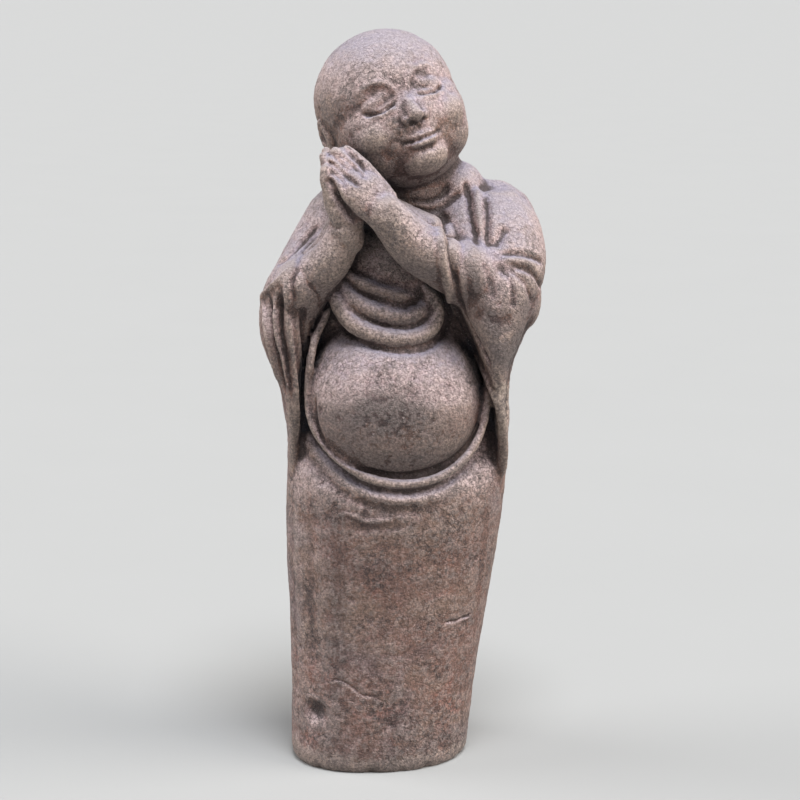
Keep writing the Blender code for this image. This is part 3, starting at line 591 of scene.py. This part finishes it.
def carve_right_sleeve(skin):
    for path, height, width in (
        (((-0.0650, 0.7400), (-0.0853, 0.7213), (-0.1402, 0.6691), (-0.1535, 0.6455)), 0.0062, 0.0046),
        (((-0.0760, 0.7500), (-0.0980, 0.7260), (-0.1280, 0.6980), (-0.1480, 0.6800)), -0.0050, 0.0050),
        (((-0.0880, 0.7120), (-0.1040, 0.6990), (-0.1110, 0.6800), (-0.1060, 0.6500)), -0.0060, 0.0042),
        (((-0.0976, 0.6560), (-0.0968, 0.6033), (-0.0985, 0.5300), (-0.1022, 0.4450)), -0.0080, 0.0046),
        (((-0.1180, 0.6900), (-0.1175, 0.6400), (-0.1110, 0.5600), (-0.1070, 0.4400)), 0.0062, 0.0044),
        (((-0.1262, 0.6800), (-0.1271, 0.6214), (-0.1195, 0.5750), (-0.1130, 0.5100)), -0.0105, 0.0042),
        (((-0.1345, 0.6700), (-0.1330, 0.6130), (-0.1245, 0.5756), (-0.1180, 0.5300)), 0.0055, 0.0040),
        (((-0.1420, 0.6700), (-0.1395, 0.6150), (-0.1300, 0.5729), (-0.1220, 0.5191)), -0.0090, 0.0040),
        (((-0.1500, 0.6562), (-0.1470, 0.6130), (-0.1375, 0.5729), (-0.1270, 0.5300)), 0.0050, 0.0044),
        (((-0.0860, 0.6250), (-0.0860, 0.5900), (-0.0900, 0.5500)), 0.0030, 0.0045),
    ):
        skin.stroke(path, height, width)


def carve_cuff(skin):
    """The rolled edge of the left sleeve, from the wrist to its hanging tip."""
    skin.stroke(LEFT_CUFF, 0.0060, 0.0056, fade=0.08)
    skin.stroke(beside(LEFT_CUFF, -0.0105), -0.0068, 0.0044, fade=0.08)


def carve_back(skin):
    behind = seen_from(180)
    for path, height, width in (
        (((-0.120, 0.790), (-0.050, 0.710), (0.040, 0.620), (0.120, 0.560)), 0.0055, 0.0130),
        (((-0.150, 0.740), (-0.080, 0.640), (0.020, 0.540), (0.110, 0.470)), 0.0060, 0.0130),
        (((-0.170, 0.690), (-0.100, 0.580), (-0.010, 0.480), (0.090, 0.410)), 0.0060, 0.0130),
        (((-0.160, 0.610), (-0.100, 0.500), (-0.030, 0.410), (0.060, 0.350)), 0.0050, 0.0130),
        (((-0.140, 0.480), (-0.120, 0.330), (-0.100, 0.150)), 0.0030, 0.0140),
        (((0.060, 0.420), (0.055, 0.280), (0.050, 0.120)), 0.0030, 0.0140),
    ):
        skin.fold(path, height, width, behind)
    for azimuth, path in (
        (75, ((0.000, 0.700), (-0.020, 0.600), (-0.015, 0.500))),
        (75, ((0.035, 0.690), (0.030, 0.580), (0.040, 0.470))),
        (-75, ((0.010, 0.680), (0.020, 0.580), (0.015, 0.480))),
        (-75, ((-0.030, 0.660), (-0.030, 0.560), (-0.040, 0.450))),
    ):
        skin.fold(path, 0.0030, 0.0090, seen_from(azimuth))


def mirrored(path, side):
    return [(side * x, z) for x, z in path]


def carve_face(skin):
    """Brows that spring from the nose, the closed lids and the mouth."""
    pose = posed(HEAD_CENTRE, HEAD_TURN, HEAD_TILT, HEAD_LIFT)
    brow = ((0.0075, -0.0060), (0.0115, 0.0100), (0.0240, 0.0215), (0.0420, 0.0235), (0.0600, 0.0150))
    lashes = ((0.0140, -0.0080), (0.0240, -0.0125), (0.0360, -0.0145), (0.0480, -0.0125), (0.0590, -0.0070))
    under = ((0.0180, -0.0150), (0.0350, -0.0205), (0.0540, -0.0140))
    for side in (-1, 1):
        for path, height, width in (
            (brow, 0.0022, 0.0034),
            (lashes, -0.0040, 0.0022),
            (under, 0.0014, 0.0034),
        ):
            skin.stroke(mirrored(path, side), height, width, pose)
        skin.dent((side * 0.0265, -0.0625), -0.0026, 0.0050, 0.0045, pose)
    closed = ((-0.0265, -0.0630), (-0.0130, -0.0660), (0, -0.0655), (0.0130, -0.0660), (0.0265, -0.0630))
    skin.stroke(closed, -0.0040, 0.0019, pose, fade=0.1)
    skin.stroke(((-0.013, -0.0800), (0, -0.0790), (0.013, -0.0800)), -0.0024, 0.0045, pose)


def carve_arms(skin):
    for path, depth, width in (
        (((-0.0627, 0.8203), (-0.0527, 0.8001), (-0.0427, 0.7823), (-0.0251, 0.7556)), 0.0060, 0.0036),
        (((-0.0660, 0.8400), (-0.0511, 0.8311), (-0.0385, 0.8198), (-0.0205, 0.8060)), 0.0050, 0.0026),
        (((-0.0509, 0.8499), (-0.0372, 0.8374), (-0.0259, 0.8286), (-0.0110, 0.8150)), 0.0044, 0.0024),
        (((-0.0422, 0.8573), (-0.0346, 0.8485), (-0.0246, 0.8372), (-0.0090, 0.8180)), 0.0034, 0.0022),
    ):
        skin.stroke(path, -depth, width, fade=0.15)


def sculpted(obj, *carvings):
    skin = Skin(obj)
    for carving in carvings:
        carving(skin)
    skin.carve()
    return obj


TUCKS = 9  # small upright creases under the belly's rim
DENTS = 90  # knocks all over the skin
DENT_SEED = 5
EACH_FOOT_CHIP = 6  # every sixth knock is a larger chip on the foot's edge

# The rough skin is a sum of noises, each (height in metres, waves to a metre, shift).
ROUGH_SKIN = ((0.0007, 38, (0, 0, 0)), (0.0004, 110, (7, 3, 1)), (0.0004, 240, (2, 9, 5)))
SKIN_SUNK = 0.0004  # so that the roughness doesn't make the figure larger

FINE_STEPS = 8  # rounds of smoothing that the finest relief is told by
BROAD_STEPS = 40
SKY_RAYS = 16  # looks out from each point, for how open it lies
SKY_REACH = 0.14 * HEIGHT
SKY_START = 0.0015
SKY_HIT = 0.7  # the most that a look which meets stone counts

CAMERA_LENS = 92.25
CAMERA_PLACE = (0.0283, -2.7388, 1.0822)
CAMERA_TURN = 78  # degrees up from straight down

# The stone's colours, from the bare cast to what lies on it, and the painted top light, highlight and shade
# laid over them.
BROWN, WARM_BROWN = (0.203, 0.107, 0.082), (0.255, 0.162, 0.122)
RED, COOL = (0.235, 0.100, 0.072), (0.150, 0.118, 0.135)
# Painted top light with a dusty film, on slopes and tops that face upward.
SLOPE_DUST_AND_TOP_LIGHT, DUST_AND_PAINTED_TOP_LIGHT = (0.510, 0.372, 0.362), (0.325, 0.296, 0.372)
# Painted shade with sheltered grime on undersides, and painted highlight with rubbed wear on ridges.
UNDERSIDE_GRIME_AND_SHADE, RUBBED_AND_HIGHLIGHT = (0.058, 0.036, 0.031), (0.430, 0.335, 0.265)
# Painted shade in broad hollows, fine creases and closed-in depths.
HOLLOW_SHADE, CREASE_SHADE, DEPTH_SHADE = (0.060, 0.039, 0.035), (0.050, 0.032, 0.029), (0.013, 0.018, 0.029)
# The blot colour is grime and painted shadow.
GRIME_AND_SHADOW_BLOT, CLOUD, MOTTLE = (0.052, 0.032, 0.031), (0.090, 0.054, 0.046), (0.054, 0.034, 0.031)
VEIN, FINE_VEIN, PIT = (0.036, 0.024, 0.025), (0.044, 0.030, 0.031), (0.052, 0.034, 0.033)
CREST, SPECK = (0.480, 0.400, 0.370), (0.560, 0.490, 0.450)

# Each blot is (middle, reach to each side, amount). Most are grime, two are painted shadow, under the chin
# and on the chest behind the forearms, and a place with less than none is painted light.
GRIME_AND_PAINTED_LIGHT_BLOTS = (
    ((0.001, -0.155, 0.5150), (0.055, 0.050, 0.028), 1.50),
    ((0.040, -0.150, 0.5050), (0.045, 0.050, 0.022), 0.70),
    ((0.022, -0.130, 0.4450), (0.090, 0.050, 0.022), 0.55),
    ((0.121, -0.130, 0.6850), (0.014, 0.120, 0.034), 1.00),
    ((0.146, -0.120, 0.6340), (0.018, 0.120, 0.032), 1.20),
    ((0.172, -0.040, 0.5900), (0.026, 0.300, 0.032), 2.40),
    ((0.185, -0.090, 0.6500), (0.012, 0.060, 0.040), 0.60),
    # Painted shadow on the chest behind the forearms.
    ((0.035, -0.075, 0.7150), (0.045, 0.032, 0.045), 1.40),
    ((0.050, -0.150, 0.7000), (0.050, 0.060, 0.018), 1.00),
    ((-0.059, -0.130, 0.6560), (0.022, 0.050, 0.022), 0.60),
    ((-0.058, -0.120, 0.2000), (0.018, 0.050, 0.170), 0.75),
    ((-0.080, -0.120, 0.0890), (0.010, 0.050, 0.011), 1.60),
    ((0.000, -0.120, 0.0100), (0.140, 0.120, 0.035), 0.70),
    # Painted light on the robe's right side.
    ((-0.100, -0.100, 0.2200), (0.010, 0.060, 0.180), -0.45),
    # Painted shadow under the chin.
    ((0.020, -0.050, 0.8020), (0.070, 0.070, 0.020), 0.55),
    ((0.000, -0.110, 0.3700), (0.110, 0.060, 0.018), 0.40),
    # Painted light on the hanging left sleeve and along the left cuff's edge.
    ((0.160, -0.040, 0.5200), (0.014, 0.300, 0.050), -1.60),
    ((0.138, -0.120, 0.5900), (0.010, 0.120, 0.035), -0.80),
    ((0.094, -0.130, 0.7050), (0.014, 0.120, 0.040), -0.90),
)


def carve_features(skin):
    """The finer parts of the face and the ears."""
    pose = posed(HEAD_CENTRE, HEAD_TURN, HEAD_TILT, HEAD_LIFT)
    lashes = ((0.0140, -0.0080), (0.0240, -0.0125), (0.0360, -0.0145), (0.0480, -0.0125), (0.0600, -0.0060))
    for side in (-1, 1):
        for path, height, width in (
            (lashes, -0.0042, 0.0016),
            (((0.0190, -0.0060), (0.0350, -0.0105), (0.0520, -0.0065)), 0.0014, 0.0022),
            (((0.0190, -0.0125), (0.0350, -0.0195), (0.0520, -0.0130)), 0.0014, 0.0030),
            (((0.0205, -0.0290), (0.0215, -0.0375), (0.0180, -0.0455)), -0.0018, 0.0018),
            (((0.0235, -0.0440), (0.0290, -0.0530), (0.0310, -0.0620)), -0.0010, 0.0042),
        ):
            skin.stroke(mirrored(path, side), height, width, pose)
        skin.dent((side * 0.0260, 0.0040), 0.0072, 0.0100, 0.0085, pose)
        skin.dent((side * 0.0450, 0.0100), 0.0030, 0.0140, 0.0070, pose)
        skin.dent((side * 0.0070, -0.0440), -0.0034, 0.0030, 0.0022, pose)
        beside_ear = pose @ Matrix.Rotation(side * pi / 2, 4, "Z")
        helix = ((0.000, 0.006), (0.010, 0.0155), (0.0225, 0.010), (0.0240, -0.008), (0.0150, -0.0260))
        skin.stroke(mirrored(helix, side), 0.0026, 0.0026, beside_ear)
        skin.dent((side * 0.0130, -0.0080), -0.0055, 0.0060, 0.0110, beside_ear)
    skin.stroke(((0, -0.0490), (0, -0.0565)), -0.0014, 0.0026, pose, fade=0.3)


def carve_knuckles(skin):
    """The creases of the wrists and the finger joints."""
    for path, depth, width in (
        (((-0.0420, 0.8380), (-0.0470, 0.8300)), 0.0012, 0.0020),
        (((-0.0300, 0.8470), (-0.0350, 0.8400)), 0.0010, 0.0018),
        (((-0.0330, 0.8230), (-0.0400, 0.8130)), 0.0012, 0.0020),
        (((0.0140, 0.7960), (0.0060, 0.7830), (0.0040, 0.7700)), 0.0016, 0.0026),
        (((-0.0650, 0.7600), (-0.0540, 0.7540), (-0.0430, 0.7560)), 0.0016, 0.0026),
    ):
        skin.stroke(path, -depth, width)


def carve_robe(skin):
    """Soft creases and upright waves in the robe below the belly."""
    upper = ((-0.0642, 0.3674), (-0.0444, 0.3728), (-0.0246, 0.3674), (-0.0048, 0.3633), (0.0151, 0.3701))
    lower = ((-0.0378, 0.3605), (-0.0114, 0.3646), (0.0124, 0.3660), (0.0283, 0.3715), (0.0415, 0.3619))
    for path, height, width in (
        (upper, 0.0016, 0.0030),
        (lower, 0.0014, 0.0026),
        (((-0.0600, 0.3590), (-0.0200, 0.3540), (0.0200, 0.3560), (0.0500, 0.3620)), -0.0008, 0.0040),
        (((-0.1090, 0.4400), (-0.1110, 0.3300), (-0.1080, 0.2000), (-0.1060, 0.0600)), 0.0022, 0.0090),
        (((-0.0900, 0.4200), (-0.0930, 0.3200), (-0.0920, 0.2000), (-0.0890, 0.1300)), -0.0020, 0.0110),
        (((0.1480, 0.3900), (0.1400, 0.2900), (0.1280, 0.1500)), -0.0012, 0.0080),
        (((0.0200, 0.2500), (0.0220, 0.1500), (0.0180, 0.0700)), 0.0010, 0.0200),
    ):
        skin.stroke(path, height, width, fade=0.3)
    for i in range(TUCKS):
        x = -0.060 + 0.021 * i
        tuck = ((x, 0.3950 - 0.02 * sin(i * 1.9)), (x + 0.004 * cos(i * 2.3), 0.3640))
        skin.stroke(tuck, -0.0012, 0.0036, fade=0.4)


def fill_cuff(skin):
    """Lower down, the sleeve's edge is broad and has no groove behind it."""
    skin.stroke(beside(LEFT_CUFF, -0.0105)[6:-1], 0.0064, 0.0050, fade=0.2)


def damage(skin):
    """The crack, the scratch, the plugged drain hole and the worn foot."""
    split = ((0.0850, 0.2125), (0.0950, 0.2150), (0.1050, 0.2135), (0.1130, 0.2165), (0.1200, 0.2160))
    split = split + ((0.1270, 0.2205),)
    skin.stroke(split, -0.0030, 0.0014, fade=0.2)
    skin.stroke(beside(split, 0.0032)[2:], 0.0016, 0.0017, fade=0.3)
    scratch = ((-0.0720, 0.1290), (-0.0610, 0.1345), (-0.0510, 0.1340), (-0.0375, 0.1275), (-0.0241, 0.1160))
    scratch = scratch + ((-0.0067, 0.1130), (0.0081, 0.1030))
    skin.stroke(scratch, -0.0015, 0.0013)
    skin.stroke(beside(scratch, 0.0024), 0.0005, 0.0013)
    drain_lip = ((-0.1030, 0.0960), (-0.0960, 0.1025), (-0.0850, 0.1030), (-0.0770, 0.0980))
    skin.stroke(drain_lip, 0.0014, 0.0026, fade=0.3)
    skin.dent((-0.0810, 0.0860), -0.0024, 0.0120, 0.0100)
    rng = np.random.default_rng(DENT_SEED)
    for i in range(DENTS):
        azimuth = rng.uniform(0, 360)
        at_foot = i % EACH_FOOT_CHIP == 0
        place = (rng.uniform(-0.10, 0.10), 0.003 if at_foot else rng.uniform(0.01, 0.90))
        size = rng.uniform(0.0050, 0.0090) if at_foot else rng.uniform(0.0015, 0.0040)
        if ray_down(skin.tree, seen_from(azimuth), *place) is not None:
            skin.dent(place, -0.45 * size, size, size * rng.uniform(0.7, 1.5), seen_from(azimuth))


def neighbours_mean(edges, values, counts):
    """The mean of each point's neighbours along the edges."""
    total = np.zeros_like(values)
    for axis in range(values.shape[1]):
        column = values[:, axis]
        total[:, axis] = np.bincount(edges[:, 0], column[edges[:, 1]], len(values))
        total[:, axis] += np.bincount(edges[:, 1], column[edges[:, 0]], len(values))
    return total / counts[:, None]


def read_mesh(mesh):
    points = np.empty(len(mesh.vertices) * 3, np.float32)
    mesh.vertices.foreach_get("co", points)
    normals = np.empty(len(mesh.vertices) * 3, np.float32)
    mesh.vertex_normals.foreach_get("vector", normals)
    edges = np.empty(len(mesh.edges) * 2, np.int32)
    mesh.edges.foreach_get("vertices", edges)
    return points.reshape(-1, 3), normals.reshape(-1, 3), edges.reshape(-1, 2)


def weather(figure):
    """The uneven skin of a rough casting, under the size of its carving."""
    mesh = figure.data
    points, normals, edges = read_mesh(mesh)
    counts = np.bincount(edges.reshape(-1), minlength=len(points))
    points = (points + neighbours_mean(edges, points, counts)) / 2
    lift = np.empty(len(points), np.float32)
    for i, point in enumerate(points):
        p = Vector(point)
        lift[i] = sum(high * noise.noise(p * waves + Vector(shift)) for high, waves, shift in ROUGH_SKIN)
    points += normals * (lift - SKIN_SUNK)[:, None]
    points[:, 2] = np.maximum(points[:, 2], 0)
    mesh.vertices.foreach_set("co", points.astype(np.float32).reshape(-1))
    mesh.update()


def thin(figure, count):
    total = sum(len(face.vertices) - 2 for face in figure.data.polygons)
    facets = figure.modifiers.new("Facets", "DECIMATE")
    facets.ratio = count / total
    applied(figure)


def write_mark(mesh, name, values):
    mark = mesh.attributes.new(name, "FLOAT", "POINT")
    mark.data.foreach_set("value", np.ascontiguousarray(values, np.float32))


def mark_grime_and_painted_light(figure):
    """Writes broad blots of grime and painted shadow, and places painted light."""
    points = read_mesh(figure.data)[0]
    grime_and_painted_light = np.zeros(len(points))
    for middle, reach, amount in GRIME_AND_PAINTED_LIGHT_BLOTS:
        away = (points - np.array(middle) * HEIGHT) / (np.array(reach) * HEIGHT)
        grime_and_painted_light += amount * np.exp(-(away**2).sum(1))
    write_mark(figure.data, "grime_and_painted_light", grime_and_painted_light)


def mark_relief(figure):
    """Writes how open each point lies to the air, and how far it stands above the skin around it."""
    mesh = figure.data
    points, normals, edges = read_mesh(mesh)
    counts = np.maximum(np.bincount(edges.reshape(-1), minlength=len(points)), 1)
    smooth = points.astype(float)
    stands = {}
    for step in range(1, BROAD_STEPS + 1):
        smooth = neighbours_mean(edges, smooth, counts)
        if step in (FINE_STEPS, BROAD_STEPS):
            stands[step] = ((points - smooth) * normals).sum(1)
    tree = BVHTree.FromObject(figure, bpy.context.evaluated_depsgraph_get())
    rays = []
    for i in range(SKY_RAYS):
        rise = (i + 0.5) / SKY_RAYS
        turn = i * pi * (3 - 5**0.5)
        rays.append((cos(turn) * (1 - rise) ** 0.5, sin(turn) * (1 - rise) ** 0.5, rise**0.5))
    open_air = np.empty(len(points))
    for i, (point, normal) in enumerate(zip(points, normals)):
        out = Vector(normal)
        side = out.orthogonal().normalized()
        other = out.cross(side)
        start = Vector(point) + out * SKY_START
        lit = 0.0
        for a, b, c in rays:
            distance = tree.ray_cast(start, side * a + other * b + out * c, SKY_REACH)[3]
            lit += 1 if distance is None else distance / SKY_REACH * SKY_HIT
        open_air[i] = lit / SKY_RAYS
    open_air = open_air[:, None]
    for _ in range(3):
        open_air = (open_air + neighbours_mean(edges, open_air, counts)) / 2
    write_mark(mesh, "open_air", open_air[:, 0])
    write_mark(mesh, "fine_relief", stands[FINE_STEPS])
    write_mark(mesh, "relief", stands[BROAD_STEPS])


class Nodes:
    """A short way to write a material's nodes."""

    def __init__(self, name):
        self.material = bpy.data.materials.new(name)
        self.material.use_nodes = True
        self.tree = self.material.node_tree
        self.shader = self.tree.nodes["Principled BSDF"]
        self.place = self.add("ShaderNodeTexCoord").outputs["Object"]

    def add(self, kind, **settings):
        made = self.tree.nodes.new(kind)
        for key, value in settings.items():
            setattr(made, key, value)
        return made

    def put(self, socket, value):
        if isinstance(value, bpy.types.NodeSocket):
            self.tree.links.new(value, socket)
        elif isinstance(value, tuple) and len(value) == 3 and socket.type == "RGBA":
            socket.default_value = (*value, 1)
        else:
            socket.default_value = value

    def math(self, operation, a, b=0.0, c=0.0):
        made = self.add("ShaderNodeMath", operation=operation)
        for socket, given in zip(made.inputs, (a, b, c)):
            self.put(socket, given)
        return made.outputs[0]

    def times(self, a, b):
        return self.math("MULTIPLY", a, b)

    def ramp(self, value, low, high, to_low=0.0, to_high=1.0):
        made = self.add("ShaderNodeMapRange", interpolation_type="SMOOTHSTEP")
        for socket, given in zip(made.inputs, (value, low, high, to_low, to_high)):
            self.put(socket, given)
        return made.outputs[0]

    def noise(self, scale, detail=3.0, roughness=0.55, distortion=0.0, out="Fac"):
        made = self.add("ShaderNodeTexNoise")
        self.put(made.inputs["Vector"], self.place)
        for name, value in (("Scale", scale), ("Detail", detail), ("Roughness", roughness)):
            self.put(made.inputs[name], value)
        self.put(made.inputs["Distortion"], distortion)
        return made.outputs[out]

    def cell_edges(self, scale, place):
        """How far each point is from the edges between cells."""
        made = self.add("ShaderNodeTexVoronoi", feature="DISTANCE_TO_EDGE")
        self.put(made.inputs["Vector"], place)
        self.put(made.inputs["Scale"], scale)
        return made.outputs["Distance"]

    def bent(self, scale, amount):
        """The place, pushed about by a noise, so that cells lose their straight sides."""
        push = self.add("ShaderNodeVectorMath", operation="MULTIPLY_ADD")
        self.put(push.inputs[0], self.noise(scale, 3.0, out="Color"))
        self.put(push.inputs[1], (amount, amount, amount))
        self.put(push.inputs[2], self.place)
        return push.outputs[0]

    def mix(self, share, a, b, blend="MIX"):
        made = self.add("ShaderNodeMix", data_type="RGBA", blend_type=blend)
        self.put(made.inputs["Factor"], share)
        self.put(made.inputs[6], a)
        self.put(made.inputs[7], b)
        return made.outputs[2]

    def mark(self, name):
        return self.add("ShaderNodeAttribute", attribute_name=name).outputs["Fac"]


def stone():
    """Cast stone: its own colours, then a dusty film with painted top light, wear with painted highlight on
    ridges, painted shade in the hollows, creases and undersides, grime blots with painted shadow and painted
    light, cracks and grain.
    """
    n = Nodes("Weathered cast stone with painted light")
    open_air, relief, fine = n.mark("open_air"), n.mark("relief"), n.mark("fine_relief")
    # The blot mark: grime and painted shadow above none, painted light below none.
    grime_and_painted_light = n.mark("grime_and_painted_light")
    facing = n.add("ShaderNodeSeparateXYZ")
    n.put(facing.inputs[0], n.add("ShaderNodeNewGeometry").outputs["Normal"])
    height = n.add("ShaderNodeSeparateXYZ")
    n.put(height.inputs[0], n.place)

    broad = n.noise(9.0, 4.0, 0.6)
    patch = n.noise(17.0, 5.0, 0.62, distortion=0.6)
    grain = n.noise(300.0, 3.0, 0.7)
    grit = n.noise(560.0, 2.0, 0.6)
    veins = n.cell_edges(80.0, n.bent(60.0, 0.014))
    fine_veins = n.cell_edges(165.0, n.bent(130.0, 0.008))

    brown = n.mix(n.ramp(broad, 0.38, 0.64), BROWN, WARM_BROWN)
    low = n.ramp(height.outputs[2], 0.50, 0.15)
    red = n.times(n.ramp(patch, 0.52, 0.66), n.math("MULTIPLY_ADD", low, 0.6, 0.25))
    body = n.mix(red, brown, RED)
    cool = n.ramp(n.noise(12.0, 5.0, 0.6, distortion=0.4), 0.50, 0.68)
    body = n.mix(n.times(cool, 0.45), body, COOL)

    ragged = n.math("MULTIPLY_ADD", n.noise(70.0, 6.0, 0.7), 0.6, -0.30)
    upward = n.math("ADD", facing.outputs[2], ragged)
    airy = n.ramp(open_air, 0.25, 0.62)
    # Painted top light with a dusty film: open slopes and tops that face upward are made paler and greyer,
    # in two layers.
    body = n.mix(n.times(n.times(n.ramp(upward, -0.14, 0.38), airy), 0.92), body, SLOPE_DUST_AND_TOP_LIGHT)
    dust_and_top_light = n.times(n.ramp(upward, 0.25, 0.90), airy)
    body = n.mix(n.times(dust_and_top_light, 0.90), body, DUST_AND_PAINTED_TOP_LIGHT)
    # Painted shade with some sheltered grime: surfaces that face downward are darkened.
    under = n.ramp(upward, -0.02, -0.65)
    body = n.mix(n.times(under, 0.80), body, UNDERSIDE_GRIME_AND_SHADE)

    # Painted highlight with some rubbed wear: small raised ridges are lightened, and so are the places that
    # the blot mark paints light.
    worn_and_lit = n.math("MAXIMUM", n.times(n.ramp(relief, 0.0020, 0.0052), 0.5), n.ramp(grime_and_painted_light, -0.1, -0.9))
    body = n.mix(n.times(worn_and_lit, 0.80), body, RUBBED_AND_HIGHLIGHT)
    # Painted shade: the broad hollows of the relief are darkened.
    hollow = n.ramp(relief, -0.0006, -0.0032)
    body = n.mix(n.times(hollow, 0.70), body, HOLLOW_SHADE)
    # Painted shade: fine creases, such as round the eyes and along the lash lines, are darkened.
    crease = n.ramp(fine, -0.00030, -0.00130)
    body = n.mix(n.times(crease, 0.72), body, CREASE_SHADE)
    # Painted shade: places closed in from the open air are darkened to a bluish near-black.
    buried = n.ramp(open_air, 0.50, 0.24)
    body = n.mix(n.times(buried, 0.96), body, DEPTH_SHADE)

    free_of_dust_and_top_light = n.math("SUBTRACT", 1.0, n.times(dust_and_top_light, 0.80))
    # Grime blots, with the painted shadows under the chin and on the chest behind the forearms.
    blot = n.times(grime_and_painted_light, n.ramp(n.noise(48.0, 6.0, 0.72), 0.30, 0.50))
    body = n.mix(n.math("MINIMUM", n.times(blot, 0.85), 0.9), body, GRIME_AND_SHADOW_BLOT)
    uneven = n.ramp(n.noise(15.0, 4.0, 0.6), 0.38, 0.60, 0.25, 1.0)
    wet = n.times(n.math("MAXIMUM", free_of_dust_and_top_light, grime_and_painted_light), uneven)
    line = n.times(n.ramp(veins, 0.060, 0.0), n.ramp(n.noise(19.0, 5.0), 0.48, 0.58))
    body = n.mix(n.times(n.times(line, wet), 0.88), body, VEIN)
    line = n.times(n.ramp(fine_veins, 0.11, 0.0), n.ramp(n.noise(24.0, 5.0), 0.46, 0.60))
    body = n.mix(n.times(n.times(line, wet), 0.38), body, FINE_VEIN)
    cloudy = n.ramp(n.noise(52.0, 6.0, 0.72), 0.50, 0.38)
    body = n.mix(n.times(n.times(cloudy, wet), 0.60), body, CLOUD)
    mottled = n.ramp(n.noise(125.0, 6.0, 0.80), 0.53, 0.41)
    body = n.mix(n.times(n.times(mottled, wet), 0.85), body, MOTTLE)
    pits = n.ramp(fine, 0.0, -0.00025)
    body = n.mix(n.times(n.times(pits, wet), 0.45), body, PIT)
    crests = n.ramp(fine, 0.00012, 0.00040)
    body = n.mix(n.times(crests, 0.20), body, CREST)
    tone = n.ramp(grain, 0.34, 0.66, 0.62, 1.38)
    tinted = n.add("ShaderNodeCombineColor")
    for socket in tinted.inputs[:3]:
        n.put(socket, tone)
    grained = n.mix(1.0, body, tinted.outputs[0], "MULTIPLY")
    body = n.mix(n.math("SUBTRACT", 1.0, n.times(dust_and_top_light, 0.55)), body, grained)
    speck = n.ramp(grit, 0.60, 0.72)
    body = n.mix(n.times(speck, 0.42), body, SPECK)
    n.put(n.shader.inputs["Base Color"], body)
    n.put(n.shader.inputs["Roughness"], n.ramp(grit, 0.3, 0.7, 0.55, 0.80))
    n.shader.inputs["Specular IOR Level"].default_value = 0.5

    rough = n.math("MULTIPLY_ADD", grit, 0.45, grain)
    rough = n.math("MULTIPLY_ADD", n.ramp(fine_veins, 0.0, 0.12), 0.35, rough)
    rough = n.math("MULTIPLY_ADD", n.ramp(veins, 0.0, 0.06), 0.35, rough)
    bump = n.add("ShaderNodeBump")
    bump.inputs["Strength"].default_value = 0.9
    bump.inputs["Distance"].default_value = 0.0020
    n.put(bump.inputs["Height"], rough)
    n.put(n.shader.inputs["Normal"], bump.outputs["Normal"])
    return n.material


def plain(name, colour, roughness):
    n = Nodes(name)
    n.put(n.shader.inputs["Base Color"], n.mix(n.noise(3.0), colour, tuple(0.97 * c for c in colour)))
    n.shader.inputs["Roughness"].default_value = roughness
    return n.material


def cut_flat(figure):
    """The underside, cut level at the floor and closed."""
    shape = bmesh.new()
    shape.from_mesh(figure.data)
    parts = [*shape.verts, *shape.edges, *shape.faces]
    cut = bmesh.ops.bisect_plane(shape, geom=parts, plane_co=(0, 0, 0), plane_no=(0, 0, 1), clear_inner=True)
    rim = [edge for edge in cut["geom_cut"] if isinstance(edge, bmesh.types.BMEdge)]
    bmesh.ops.contextual_create(shape, geom=rim)
    bmesh.ops.triangulate(shape, faces=[face for face in shape.faces if len(face.verts) > 4])
    shape.to_mesh(figure.data)
    shape.free()


def make_figure():
    body = sculpted(make_body(), carve_front, carve_robe, carve_left_sleeve, carve_right_sleeve, carve_back)
    head = sculpted(make_head(), carve_face, carve_features)
    arms = sculpted(make_arms(), carve_arms, carve_knuckles)
    figure = fuse("monk_stone", [body, head, arms, *make_web()], 0.0012, GRAIN * 0.95)
    sculpted(figure, carve_cuff, fill_cuff, damage)
    weather(figure)
    thin(figure, TRIANGLES)
    cut_flat(figure)
    mark_relief(figure)
    mark_grime_and_painted_light(figure)
    figure.data.shade_smooth()
    figure.data.materials.clear()
    figure.data.materials.append(stone())
    return figure


def sun(name, energy, turn, angle, colour=(1, 1, 1)):
    """A broad light from far off, turned by degrees about X, Y and Z."""
    light = bpy.data.lights.new(name, "SUN")
    light.energy = energy
    light.angle = radians(angle)
    light.color = colour
    made = linked(name, light)
    made.rotation_euler = [radians(a) for a in turn]


def make_stage():
    bpy.ops.mesh.primitive_plane_add(size=160, location=(0, 40, 0))
    floor = bpy.context.object
    floor.name = "floor"
    floor.data.materials.append(plain("Pale floor", (0.37, 0.37, 0.365), 0.9))

    world = bpy.data.worlds.new("Studio")
    world.use_nodes = True
    world.node_tree.nodes["Background"].inputs["Color"].default_value = (0.95, 0.96, 1.0, 1)
    world.node_tree.nodes["Background"].inputs["Strength"].default_value = 0.23
    bpy.context.scene.world = world

    sun("Top", 3.45, (20, 6, 0), 24, (0.95, 0.97, 1.0))
    sun("Left", 2.0, (66, 0, -96), 40)
    sun("Right", 2.7, (60, 0, 76), 40, (1.0, 0.97, 0.92))

    lens = bpy.data.cameras.new("Camera")
    lens.lens = CAMERA_LENS
    lens.sensor_width = 36
    lens.clip_end = 200
    camera = linked("Camera", lens)
    camera.location = CAMERA_PLACE
    camera.rotation_euler = (radians(CAMERA_TURN), 0, 0)
    bpy.context.scene.camera = camera
    bpy.context.scene.view_settings.view_transform = "Standard"


figure = make_figure()
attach(figure, "root")
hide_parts("statue")
make_stage()
